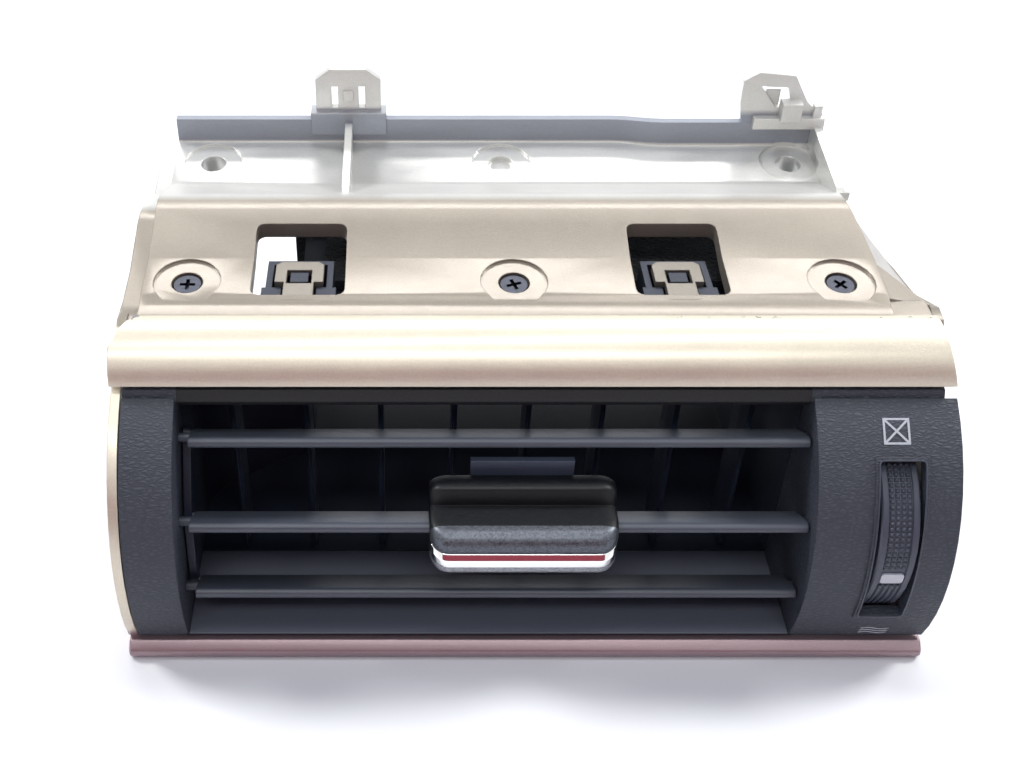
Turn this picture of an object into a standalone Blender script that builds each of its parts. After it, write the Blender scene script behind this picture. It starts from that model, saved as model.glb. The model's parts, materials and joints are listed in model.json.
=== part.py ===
"""Dashboard air vent: a painted housing that snaps over a black register with a curved face.

Units are metres, +X is the vent's right seen from the front, +Y is towards its back, +Z is up.
The origin is on the surface the vent rests on, under the middle of the roll's length.
"""
import bpy
import bmesh
import math
from mathutils import Matrix, Vector

MM = 0.001

# Clearances
SEAT = 0.3 * MM              # between two pieces that touch
RUNNING = 0.3 * MM           # around a pin in its hole, each side
OVERLAP = 0.6 * MM           # how far joined shapes run into each other

# Housing
HOUSING_WIDTH = 200 * MM
HOUSING_WALL = 2.3 * MM
PANEL_LEFT = -94.5 * MM
PANEL_RIGHT = 87.0 * MM
LEDGE_FRONT = (-20.5 * MM, 77.8 * MM)
LEDGE_BACK = (-17.0 * MM, 77.8 * MM)
STRIP_FRONT = (-14.0 * MM, 79.2 * MM)
STRIP_BACK = (-0.4 * MM, 80.4 * MM)
CREST_FRONT = (15.5 * MM, 84.6 * MM)
CREST_TOP = (19.5 * MM, 85.0 * MM)
CREST_BACK = (24.0 * MM, 84.2 * MM)
VALLEY_FRONT = (38.5 * MM, 78.4 * MM)
VALLEY_BACK = (57.5 * MM, 81.0 * MM)
LEFT_SHELF_DROP = 3.4 * MM
RIM_TOP = 88.0 * MM
RIM_BOTTOM = 74.0 * MM
RIM_BACK = 59.4 * MM
RIM_JOG = 1.8 * MM
RIM_JOG_START = 28 * MM
RIM_JOG_END = 42 * MM
ROLL_TOP = (-20.7 * MM, 77.9 * MM)
ROLL_MIDDLE = (-30.6 * MM, 76.5 * MM)
ROLL_LIP = (-36.1 * MM, 68.3 * MM)
ROLL_WALL = 2.8 * MM
ROLL_ROUNDING = 0.9 * MM
SIDE_WALL_TOP = 72.5 * MM
SIDE_WALL_FOOT_BACK = 14 * MM
SIDE_WALL_BACK = 28 * MM
RIGHT_WALL = 2.4 * MM
SIDE_WALL_REAR_BOTTOM = 46 * MM
TRIM_NOSE = -62.5 * MM
TRIM_TOP = 4.6 * MM
TRIM_BACK = -44 * MM
CLIP_TOP = 103.0 * MM
LEFT_CLIP_X = -46.0 * MM
LEFT_CLIP_WIDTH = 18 * MM
LEFT_CLIP_SLOT = 1.8 * MM
LEFT_CLIP_SLOT_PITCH = 7.5 * MM
LEFT_CLIP_SLOT_HEIGHT = 6.4 * MM
RIGHT_CLIP_X = 73.5 * MM
RIGHT_CLIP_WIDTH = 22 * MM
RIGHT_CLIP_BLOCK = 5.5 * MM
CLIP_BARB = 3.09 * MM
GUSSET_WALL = 2.0 * MM
RIGHT_GUSSET_X = 84.5 * MM
LOCATING_PEG_RADIUS = 1.7 * MM
LOCATING_PEG_LENGTH = 8 * MM
LOCATING_PEG_Y = -7 * MM

# Screw bosses on the housing
BOSS_PITCH = 80.3 * MM
BOSS_MIDDLE_X = -3.5 * MM
FRONT_BOSS_RADIUS = 8.3 * MM
REAR_BOSS_RADIUS = 8.1 * MM
FRONT_BOSS_Y = -9.0 * MM
REAR_BOSS_Y = 48.0 * MM
FRONT_BOSS_HOLE = 3.9 * MM
REAR_BOSS_HOLE = 3.5 * MM
BOSS_RECESS = 0.7 * MM
BOSS_LENGTH = 6.0 * MM
SCREW_HEAD_RADIUS = 3.4 * MM
SCREW_HEAD_HEIGHT = 2.2 * MM
SCREW_SHANK_RADIUS = 1.6 * MM
SCREW_SHANK_LENGTH = 8.0 * MM
SCREW_DEPTH = 1.4 * MM

# Cut-outs over the snap latches
WINDOW_WIDTH = 23 * MM
WINDOW_X = (-56.5 * MM, 37.5 * MM)
WINDOW_FRONT = -14.2 * MM
WINDOW_BACK = 10.8 * MM
WINDOW_SKIRT = 3.6 * MM
LATCH_LOOP_WIDTH = 12.0 * MM
LATCH_LOOP_THICKNESS = 1.8 * MM
LATCH_TONGUE_WIDTH = 7.4 * MM
LATCH_KNEE = -8.0 * MM
LATCH_BACK = 0.6 * MM
CATCH_WIDTH = 4.4 * MM
CATCH_TOP = 78.2 * MM
CATCH_GUIDE_WALL = 1.6 * MM
CATCH_WING_REACH = 9.2 * MM
CATCH_WING_TOP = 77.2 * MM

# Register face, an arc about an axis along X
FACE_Y = -13.5 * MM
FACE_Z = 22.7 * MM
FACE_RADIUS = 48.5 * MM
FACE_SKIN = 2.5 * MM
FACE_TOP_ANGLE = 61.5
FACE_BOTTOM_ANGLE = -20.3
BEZEL_LEFT = -97.3 * MM
BEZEL_RIGHT = 100.0 * MM
OPENING_LEFT = -84.8 * MM
OPENING_RIGHT = 66.3 * MM
BEZEL_WALL = 1.8 * MM
BEZEL_DEPTH_LEFT = 8.2 * MM
BEZEL_OUTER_WALL_DEPTH = 6.5 * MM
BEZEL_OUTER_WALL_STEP = 0.4 * MM

# Air duct
DUCT_FRONT = -31.0 * MM
DUCT_TURN = -12.0 * MM
DUCT_NARROW = 8.0 * MM
DUCT_BACK = 50.0 * MM
DUCT_BOTTOM = 4.9 * MM
DUCT_TOP = 67.2 * MM
DUCT_WALL = 1.8 * MM
PORT_LEFT = -58.0 * MM
PORT_RIGHT = 64.0 * MM
PORT_BOTTOM = 10.0 * MM
PORT_TOP = 62.0 * MM
GASKET_THICKNESS = 3.2 * MM
GASKET_LENGTH = 9.0 * MM
FELT_THICKNESS = 3.0 * MM

# Slats
SLAT_RADIUS = 44.6 * MM
SLAT_ANGLES = {"upper": 49.0, "middle": 22.5, "lower": -3.3}
SLAT_PITCH_ANGLE = 27.0
SLAT_CHORD = 11.5 * MM
SLAT_THICKNESS = 2.6 * MM
SLAT_TAIL = 1.2 * MM
SLAT_END_GAP = 0.5 * MM
SLAT_PIN_RADIUS = 1.2 * MM
SLAT_CRANK = 4.2 * MM
SLAT_CRANK_PIN_RADIUS = 0.9 * MM
SLAT_LINK_WIDTH = 3.6 * MM
SLAT_LINK_THICKNESS = 1.9 * MM
SLAT_LINK_GAP = 0.3 * MM

# Knob on the middle slat
KNOB_X = -2.0 * MM
KNOB_WIDTH = 45.0 * MM
KNOB_FRONT_REACH = 10.9 * MM
KNOB_BACK_REACH = 6.6 * MM
KNOB_TOP = 9.4 * MM
KNOB_BOTTOM = 6.8 * MM
KNOB_ROUNDING = 0.9 * MM
KNOB_STRIP_RISE = 1.6 * MM
KNOB_STRIP_HEIGHT = 4.2 * MM
KNOB_STRIP_DEPTH = 1.4 * MM
KNOB_STRIP_PROUD = 0.5 * MM
KNOB_STRIP_END = 1.6 * MM
FORK_VANE = 5
FORK_PLATE_WIDTH = 25 * MM
FORK_PLATE_THICKNESS = 1.6 * MM
FORK_PLATE_TOP = 13.4 * MM
FORK_HALF_GAP = 2.2 * MM
FORK_PRONG_WIDTH = 1.8 * MM
FORK_PRONG_HEIGHT = 3.6 * MM
FORK_REACH = 15.0 * MM
FORK_TONGUE_FRONT = -38.3 * MM
FORK_TONGUE_HEIGHT = 9.0 * MM

# Vanes behind the slats
VANE_COUNT = 8
VANE_PITCH = 18.2 * MM
VANE_MIDDLE_X = -9.0 * MM
VANE_FRONT = -30.2 * MM
VANE_CHORD = 14.0 * MM
VANE_THICKNESS = 1.6 * MM
VANE_PIN_RADIUS = 1.0 * MM
VANE_END_GAP = 0.8 * MM
VANE_CRANK = 5.0 * MM
VANE_CRANK_PIN_RADIUS = 0.9 * MM
VANE_LINK_WIDTH = 3.8 * MM
VANE_LINK_THICKNESS = 1.6 * MM
VANE_LINK_GAP = 0.4 * MM
VANE_LINK_SPACE = 3.6 * MM

# Thumbwheel and shut-off door
WHEEL_X = 85.8 * MM
WHEEL_ANGLE = 18.5
WHEEL_RADIUS = 26.0 * MM
WHEEL_PROUD = 1.2 * MM
WHEEL_WIDTH = 9.2 * MM
WHEEL_SLOT_WIDTH = 10.6 * MM
WHEEL_SLOT_HALF_ANGLE = 25.0
WHEEL_SLOT_RIM = 1.0 * MM
WHEEL_WEB = 2.2 * MM
WHEEL_RIM = 3.2 * MM
WHEEL_STUB_RADIUS = 2.5 * MM
WHEEL_ARM_THICKNESS = 2.2 * MM
WHEEL_ARM_WIDTH = 7.6 * MM
WHEEL_SEGMENTS = 40
WHEEL_TRAVEL = 66.0
CRANK_RADIUS = 9.5 * MM
CRANK_ANGLE = 115.0
CRANK_PIN_RADIUS = 1.6 * MM
CONTROL_ROD_OFFSET = 7.2 * MM
CONTROL_ROD_WIDTH = 6.0 * MM
CONTROL_ROD_THICKNESS = 2.2 * MM
DOOR_Y = 22.0 * MM
DOOR_Z = 36.0 * MM
DOOR_THICKNESS = 2.0 * MM
DOOR_SHAFT_RADIUS = 2.4 * MM
DOOR_OPEN_ANGLE = 4.0
DOOR_SEAL_THICKNESS = 1.2 * MM
DOOR_SEAL_INSET = 0.3 * MM
DOOR_END_GAP = 1.2 * MM
DOOR_LEVER_OFFSET = 2.0 * MM
DOOR_LEVER_THICKNESS = 2.4 * MM
DOOR_LEVER_WIDTH = 7.6 * MM

# Facets
ARC_STEP = 7.0
ROUND_SEGMENTS = 24
SMALL_SEGMENTS = 16

COLOURS = {
    "painted_champagne": ((0.56, 0.49, 0.41, 1), 0.38, 0.35),
    "grained_black": ((0.022, 0.023, 0.026, 1), 0.55, 0.0),
    "duct_black": ((0.014, 0.014, 0.016, 1), 0.6, 0.0),
    "slat_grey": ((0.035, 0.036, 0.040, 1), 0.42, 0.0),
    "knob_black": ((0.025, 0.026, 0.029, 1), 0.45, 0.0),
    "bright_chrome": ((0.86, 0.86, 0.88, 1), 0.08, 1.0),
    "link_grey": ((0.12, 0.13, 0.15, 1), 0.5, 0.0),
    "foam_black": ((0.010, 0.010, 0.011, 1), 0.95, 0.0),
    "screw_steel": ((0.30, 0.30, 0.31, 1), 0.35, 1.0),
}


def clear_scene():
    for item in list(bpy.data.objects):
        bpy.data.objects.remove(item, do_unlink=True)


def new_collection(name):
    collection = bpy.data.collections.new(name)
    bpy.context.scene.collection.children.link(collection)
    return collection


clear_scene()
PARTS = new_collection("dashboard_air_vent")
CUTTERS = new_collection("cutters")


def material(name):
    """One Principled material for each finish."""
    found = bpy.data.materials.get(name)
    if found:
        return found
    colour, roughness, metallic = COLOURS[name]
    made = bpy.data.materials.new(name)
    made.use_nodes = True
    shader = made.node_tree.nodes["Principled BSDF"]
    shader.inputs["Base Color"].default_value = colour
    shader.inputs["Roughness"].default_value = roughness
    shader.inputs["Metallic"].default_value = metallic
    made.diffuse_color = colour
    return made


def place(mesh, name, finish, origin=(0, 0, 0)):
    """Puts a mesh in the parts collection, or among the cutters when it has no finish."""
    item = bpy.data.objects.new(name, mesh)
    item.location = origin
    if finish:
        PARTS.objects.link(item)
        mesh.materials.clear()
        mesh.materials.append(material(finish))
        for face in mesh.polygons:
            face.material_index = 0
    else:
        CUTTERS.objects.link(item)
        item.hide_render = True
        item.display_type = "WIRE"
    return item


def boolean(item, other, operation):
    step = item.modifiers.new(other.name, "BOOLEAN")
    step.operation = operation
    step.solver = "EXACT"
    step.object = other
    return item


def cut(item, *others):
    for other in others:
        boolean(item, other, "DIFFERENCE")
    return item


def join(item, *others):
    for other in others:
        boolean(item, other, "UNION")
    return item


def flat_prism(name, outline, start, end, along, finish=None, origin=(0, 0, 0), holes=()):
    """A flat outline extruded along X, Y or Z, given in metres from the origin.

    The outline's two coordinates are (Y, Z) along X, (X, Z) along Y and (X, Y) along Z.
    """
    curve = bpy.data.curves.new(name, "CURVE")
    curve.dimensions = "2D"
    curve.fill_mode = "BOTH"
    curve.extrude = abs(end - start) / 2
    for ring in (outline, *holes):
        spline = curve.splines.new("POLY")
        spline.points.add(len(ring) - 1)
        for point, (a, b) in zip(spline.points, ring):
            point.co = (a, b, 0, 1)
        spline.use_cyclic_u = True
    guide = bpy.data.objects.new(name + "_curve", curve)
    bpy.context.scene.collection.objects.link(guide)
    bpy.context.view_layer.update()
    evaluated = guide.evaluated_get(bpy.context.evaluated_depsgraph_get())
    mesh = bpy.data.meshes.new_from_object(evaluated)
    mesh.name = name
    bpy.data.objects.remove(guide, do_unlink=True)
    bpy.data.curves.remove(curve)
    middle = (start + end) / 2
    turns = {
        "X": Matrix(((0, 0, 1, middle), (1, 0, 0, 0), (0, 1, 0, 0), (0, 0, 0, 1))),
        "Y": Matrix(((1, 0, 0, 0), (0, 0, -1, middle), (0, 1, 0, 0), (0, 0, 0, 1))),
        "Z": Matrix.Translation((0, 0, middle)),
    }
    mesh.transform(turns[along])
    shape = bmesh.new()
    shape.from_mesh(mesh)
    bmesh.ops.remove_doubles(shape, verts=shape.verts, dist=0.00001)
    bmesh.ops.dissolve_limit(shape, angle_limit=0.001, verts=shape.verts, edges=shape.edges)
    bmesh.ops.recalc_face_normals(shape, faces=shape.faces)
    shape.to_mesh(mesh)
    shape.free()
    return place(mesh, name, finish, origin)


def box(name, low, high, finish=None, origin=(0, 0, 0), rounding=0.0):
    """A block between two corners, with its long edges rounded if asked."""
    shape = bmesh.new()
    size = [high[i] - low[i] for i in range(3)]
    middle = [(high[i] + low[i]) / 2 for i in range(3)]
    bmesh.ops.create_cube(shape, size=1, matrix=Matrix.Translation(middle) @ Matrix.Diagonal((*size, 1)))
    mesh = bpy.data.meshes.new(name)
    shape.to_mesh(mesh)
    shape.free()
    item = place(mesh, name, finish, origin)
    if rounding:
        soften(item, rounding)
    return item


def soften(item, width, segments=2):
    """Rounds every sharp edge."""
    step = item.modifiers.new("rounding", "BEVEL")
    step.width = width
    step.segments = segments
    step.limit_method = "ANGLE"
    step.angle_limit = math.radians(40)
    return item


def rod(name, radius, start, end, along="X", centre=(0, 0), finish=None, origin=(0, 0, 0),
        segments=ROUND_SEGMENTS, end_radius=None):
    """A round bar along X, Y or Z; centre holds its place across that direction."""
    turns = {"X": Matrix.Rotation(math.radians(90), 4, "Y"),
             "Y": Matrix.Rotation(math.radians(-90), 4, "X"),
             "Z": Matrix.Identity(4)}
    middle = (start + end) / 2
    places = {"X": (middle, centre[0], centre[1]),
              "Y": (centre[0], middle, centre[1]),
              "Z": (centre[0], centre[1], middle)}
    shape = bmesh.new()
    bmesh.ops.create_cone(shape, cap_ends=True, segments=segments, radius1=radius,
                          radius2=radius if end_radius is None else end_radius, depth=end - start,
                          matrix=Matrix.Translation(places[along]) @ turns[along])
    mesh = bpy.data.meshes.new(name)
    shape.to_mesh(mesh)
    shape.free()
    mesh.shade_smooth()
    mesh.set_sharp_from_angle(angle=math.radians(35))
    return place(mesh, name, finish, origin)


def face_point(radius, angle):
    """A (Y, Z) point on an arc about the face's axis; 0 degrees looks straight forward."""
    turn = math.radians(angle)
    return (FACE_Y - radius * math.cos(turn), FACE_Z + radius * math.sin(turn))


def face_arc(radius, start, end, step=ARC_STEP):
    count = max(1, math.ceil(abs(end - start) / step))
    return [face_point(radius, start + (end - start) * i / count) for i in range(count + 1)]


def arc_through(first, middle, last, count):
    """Points on the circle through three (Y, Z) points."""
    ax, ay = first
    bx, by = middle
    cx, cy = last
    d = 2 * (ax * (by - cy) + bx * (cy - ay) + cx * (ay - by))
    ux = ((ax**2 + ay**2) * (by - cy) + (bx**2 + by**2) * (cy - ay) + (cx**2 + cy**2) * (ay - by)) / d
    uy = ((ax**2 + ay**2) * (cx - bx) + (bx**2 + by**2) * (ax - cx) + (cx**2 + cy**2) * (bx - ax)) / d
    radius = math.hypot(ax - ux, ay - uy)
    start = math.atan2(ay - uy, ax - ux)
    sweep = (math.atan2(cy - uy, cx - ux) - start) % (2 * math.pi)
    return [(ux + radius * math.cos(start + sweep * i / count),
             uy + radius * math.sin(start + sweep * i / count)) for i in range(count + 1)], (ux, uy)


def band(points, thickness):
    """A closed outline: a line of (Y, Z) points and the same line set off by a thickness."""
    offset = []
    for i, point in enumerate(points):
        before = Vector(points[max(i - 1, 0)])
        after = Vector(points[min(i + 1, len(points) - 1)])
        along = (after - before).normalized()
        offset.append((point[0] + along.y * thickness, point[1] - along.x * thickness))
    return list(points) + offset[::-1]


def bar_outline(points, width, round_steps=6):
    """A closed outline of a flat bar with round ends through a few (Y, Z) points."""
    half = width / 2
    outline = []
    for run in (points, points[::-1]):
        for i, point in enumerate(run):
            here = Vector(point)
            ahead = (Vector(run[i + 1]) - here).normalized() if i + 1 < len(run) else None
            behind = (here - Vector(run[i - 1])).normalized() if i else None
            along = ((ahead or behind) + (behind or ahead)).normalized()
            across = Vector((along.y, -along.x)) * half
            outline.append((here + across)[:])
        tip = Vector(run[-1])
        along = (tip - Vector(run[-2])).normalized()
        start = math.atan2(-along.x, along.y)
        outline += [(tip.x + half * math.cos(start + math.pi * k / round_steps),
                     tip.y + half * math.sin(start + math.pi * k / round_steps))
                    for k in range(1, round_steps)]
    return outline


def circle(centre, radius, segments=SMALL_SEGMENTS):
    return [(centre[0] + radius * math.cos(2 * math.pi * i / segments),
             centre[1] + radius * math.sin(2 * math.pi * i / segments)) for i in range(segments)]


def strip_height(y):
    """Height of the panel's top face at a distance back."""
    line = panel_line()
    for (y0, z0), (y1, z1) in zip(line, line[1:]):
        if y <= y1:
            return z0 + (z1 - z0) * (y - y0) / (y1 - y0)
    return line[-1][1]


def tilted_place(x, y):
    """A matrix that stands on the panel's top face at a place, with its Z along the face's normal."""
    step = 1 * MM
    slope = math.atan2(strip_height(y + step) - strip_height(y - step), 2 * step)
    return Matrix.Translation((x, y, strip_height(y))) @ Matrix.Rotation(slope, 4, "X")


def boss_places(y):
    return [tilted_place(BOSS_MIDDLE_X + side * BOSS_PITCH, y) for side in (-1, 0, 1)]


def upright(name, radius, low, high, place_matrix, finish=None, segments=ROUND_SEGMENTS):
    """A round bar standing on a tilted place."""
    item = rod(name, radius, low, high, along="Z", finish=finish, segments=segments)
    item.data.transform(place_matrix)
    return item


def panel_line():
    """The panel's top face from front to back."""
    return [LEDGE_FRONT, LEDGE_BACK, STRIP_FRONT, STRIP_BACK, CREST_FRONT, CREST_TOP, CREST_BACK, VALLEY_FRONT, VALLEY_BACK]


def roll_outline():
    outer, centre = arc_through(ROLL_TOP, ROLL_MIDDLE, ROLL_LIP, 8)
    inner = []
    for y, z in outer:
        reach = Vector((y - centre[0], z - centre[1]))
        inner.append(tuple(Vector(centre) + reach * (1 - ROLL_WALL / reach.length)))
    return outer + inner[::-1]


def side_wall_outline(front, top_line):
    """A side wall: its front edge and top line are given, its foot stands on the table."""
    back = SIDE_WALL_BACK
    return front + [(TRIM_NOSE + 8 * MM, 0), (SIDE_WALL_FOOT_BACK, 0), (back, SIDE_WALL_REAR_BOTTOM), *top_line]


def make_housing():
    """The painted moulding: roll, top panel, rim, side walls and lower trim in one piece."""
    half = HOUSING_WIDTH / 2
    finish = "painted_champagne"
    panel = flat_prism("housing", band(panel_line(), HOUSING_WALL), PANEL_LEFT, PANEL_RIGHT, "X", finish)
    shelf_line = [(y, z - LEFT_SHELF_DROP) for y, z in panel_line()]
    shelf = flat_prism("left_shelf", band(shelf_line, HOUSING_WALL), -half + OVERLAP, PANEL_LEFT + HOUSING_WALL, "X")
    edge_line = [(y, z - OVERLAP) for y, z in panel_line()]
    left_edge = flat_prism("left_edge", band(edge_line, HOUSING_WALL + LEFT_SHELF_DROP),
                           PANEL_LEFT + 0.1 * MM, PANEL_LEFT + HOUSING_WALL, "X")
    corner = [(right, y) for y, right in right_edge_line()]
    corner += [(PANEL_RIGHT + 2 * MM, corner[-1][1]), (PANEL_RIGHT + 2 * MM, corner[0][1])]
    cut(panel, flat_prism("right_corner", corner, RIM_BOTTOM, RIM_TOP, "Z"))
    ledge = [(LEDGE_FRONT[0] - 3 * MM, LEDGE_FRONT[1] - 2.6 * MM), (STRIP_FRONT[0] - 0.6 * MM, LEDGE_BACK[1] - 2.6 * MM),
             (STRIP_FRONT[0] - 0.6 * MM, LEDGE_BACK[1] - 0.1 * MM), (LEDGE_FRONT[0] - 0.2 * MM, LEDGE_FRONT[1] - 0.1 * MM),
             (LEDGE_FRONT[0] - 3 * MM, LEDGE_FRONT[1] - 0.5 * MM)]
    shelf_front = flat_prism("roll_shelf", ledge, -half + 5.5 * MM, half - 4 * MM, "X")
    join(panel, shelf, left_edge, make_roll(), shelf_front)
    add_rim(panel)
    add_side_walls(panel)
    add_lower_trim(panel)
    add_clips(panel)
    add_bosses(panel)
    add_windows(panel)
    return panel


def make_roll():
    """The padded-looking roll along the front, its two ends trimmed at a slant."""
    half = HOUSING_WIDTH / 2
    roll = flat_prism("roll", roll_outline(), -half, half, "X")
    left_end = [(-half - 1 * MM, -33 * MM), (-half + 6.5 * MM, -17 * MM), (-half - 1 * MM, -17 * MM)]
    right_end = [(half + 0.2 * MM, 66 * MM), (half + 1 * MM, 66 * MM), (half + 1 * MM, 80 * MM), (half - 3.6 * MM, 80 * MM)]
    cut(roll, flat_prism("roll_left_trim", left_end, SIDE_WALL_TOP + 2 * MM, RIM_TOP, "Z"),
        flat_prism("roll_right_trim", right_end, -45 * MM, -15 * MM, "Y"))
    return soften(roll, ROLL_ROUNDING)


def right_edge_line():
    """(Y, X) of the panel's right edge, drawn in towards the crest."""
    return ((STRIP_BACK[0], PANEL_RIGHT), (CREST_FRONT[0], PANEL_RIGHT - 2.4 * MM),
            (CREST_TOP[0], PANEL_RIGHT - 3 * MM), (CREST_BACK[0] + 1 * MM, PANEL_RIGHT - 3 * MM))


def add_rim(panel):
    """The upstanding rear rim, set forward by a small jog on its right part."""
    back, jog = RIM_BACK, RIM_JOG
    front = back - HOUSING_WALL
    turn = (RIM_JOG_END - RIM_JOG_START) / 4
    outline = [(PANEL_LEFT, front), (PANEL_LEFT, back), (RIM_JOG_START, back),
               (RIM_JOG_START + turn, back - jog * 0.15), (RIM_JOG_END - turn, back - jog * 0.85),
               (RIM_JOG_END, back - jog), (PANEL_RIGHT, back - jog), (PANEL_RIGHT, front - jog),
               (RIM_JOG_END, front - jog), (RIM_JOG_END - turn, front - jog * 0.85),
               (RIM_JOG_START + turn, front - jog * 0.15), (RIM_JOG_START, front)]
    rim = flat_prism("rim", outline, RIM_BOTTOM, RIM_TOP, "Z")
    join(panel, rim)


def add_side_walls(panel):
    half = HOUSING_WIDTH / 2
    left_front = face_arc(FACE_RADIUS, FACE_TOP_ANGLE + 3, FACE_BOTTOM_ANGLE)
    left_top = [(SIDE_WALL_BACK, SIDE_WALL_TOP), (LEDGE_BACK[0] - 2 * MM, SIDE_WALL_TOP + 2.6 * MM)]
    left = flat_prism("left_wall", side_wall_outline(left_front, left_top), -half + 0.05 * MM, BEZEL_LEFT - SEAT, "X")
    inner_radius = FACE_RADIUS - BEZEL_OUTER_WALL_STEP - BEZEL_OUTER_WALL_DEPTH - 2 * SEAT
    right_front = face_arc(inner_radius, FACE_TOP_ANGLE, FACE_BOTTOM_ANGLE - 8)
    right_top = [(SIDE_WALL_BACK, 64.6 * MM)] + [(y, z - 0.6 * MM) for y, _, _, _, z in shoulder_rows()[::-1]]
    right_top.append((LEDGE_BACK[0] - 2 * MM, SIDE_WALL_TOP + 2.6 * MM))
    right = flat_prism("right_wall", side_wall_outline(right_front, right_top), half - RIGHT_WALL, half - 0.1 * MM, "X")
    join(panel, left, right, make_right_shoulder(), make_left_return())
    peg = rod("locating_peg", LOCATING_PEG_RADIUS, SIDE_WALL_TOP - 9 * MM, SIDE_WALL_TOP - 9 * MM + LOCATING_PEG_LENGTH,
              along="Z", centre=(-half + LOCATING_PEG_RADIUS + 0.2 * MM, LOCATING_PEG_Y), segments=SMALL_SEGMENTS)
    join(panel, peg)


def shoulder_rows():
    """Rows from front to back of (y, inner x, inner z, outer x, outer z) on the flared face."""
    edge = HOUSING_WIDTH / 2 - 1.2 * MM
    inner = PANEL_RIGHT - OVERLAP
    return [(STRIP_FRONT[0] - 0.8 * MM, inner, STRIP_FRONT[1] - OVERLAP, edge - 1.2 * MM, 76.4 * MM),
            (STRIP_BACK[0], inner, STRIP_BACK[1] - OVERLAP, edge, 70.0 * MM),
            (CREST_FRONT[0], inner - 2.4 * MM, CREST_FRONT[1] - OVERLAP, edge, 67.0 * MM),
            (CREST_TOP[0], inner - 3 * MM, CREST_TOP[1] - OVERLAP, edge, 66.0 * MM),
            (CREST_BACK[0], inner - 3 * MM, CREST_BACK[1] - OVERLAP, edge, 65.2 * MM)]


def make_right_shoulder():
    """The flared face between the panel's right edge and the right wall."""
    shape = bmesh.new()
    rows = [(shape.verts.new((inner, y, high)), shape.verts.new((outer, y, low)))
            for y, inner, high, outer, low in shoulder_rows()]
    for (a, b), (c, d) in zip(rows, rows[1:]):
        shape.faces.new((a, b, d, c))
    bmesh.ops.recalc_face_normals(shape, faces=shape.faces)
    if shape.faces[:][0].normal.z < 0:
        bmesh.ops.reverse_faces(shape, faces=shape.faces)
    mesh = bpy.data.meshes.new("right_shoulder")
    shape.to_mesh(mesh)
    shape.free()
    item = place(mesh, "right_shoulder", None)
    shell = item.modifiers.new("thickness", "SOLIDIFY")
    shell.thickness = HOUSING_WALL
    shell.offset = -1
    return item


def make_left_return():
    """The wall that closes the left shelf's outer edge down to the left wall's top."""
    half = HOUSING_WIDTH / 2
    outline = [(-21 * MM, SIDE_WALL_TOP - 4 * MM), (SIDE_WALL_BACK - 0.2 * MM, SIDE_WALL_TOP - 4 * MM),
               (VALLEY_BACK[0], SIDE_WALL_TOP + 2 * MM)]
    outline += [(y, z - LEFT_SHELF_DROP - OVERLAP) for y, z in panel_line()[::-1]]
    return flat_prism("left_return", outline, -half + 0.3 * MM, BEZEL_LEFT - SEAT - 0.1 * MM, "X")


def add_lower_trim(panel):
    half = HOUSING_WIDTH / 2
    nose = [(TRIM_BACK, 0), (TRIM_BACK, TRIM_TOP), (TRIM_NOSE + 2.6 * MM, TRIM_TOP + 0.3 * MM),
            (TRIM_NOSE + 0.7 * MM, TRIM_TOP - 1.2 * MM), (TRIM_NOSE, 1.7 * MM), (TRIM_NOSE + 1.0 * MM, 0.2 * MM),
            (TRIM_NOSE + 2.0 * MM, 0)]
    trim = soften(flat_prism("lower_trim", nose, -half, half, "X"), 0.8 * MM)
    foot = box("right_foot", (half - 2.3 * MM, TRIM_BACK - 4 * MM, 0.1 * MM),
               (half - 0.2 * MM, TRIM_BACK + 8 * MM, TRIM_TOP - 0.2 * MM))
    join(panel, trim, foot)


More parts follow.
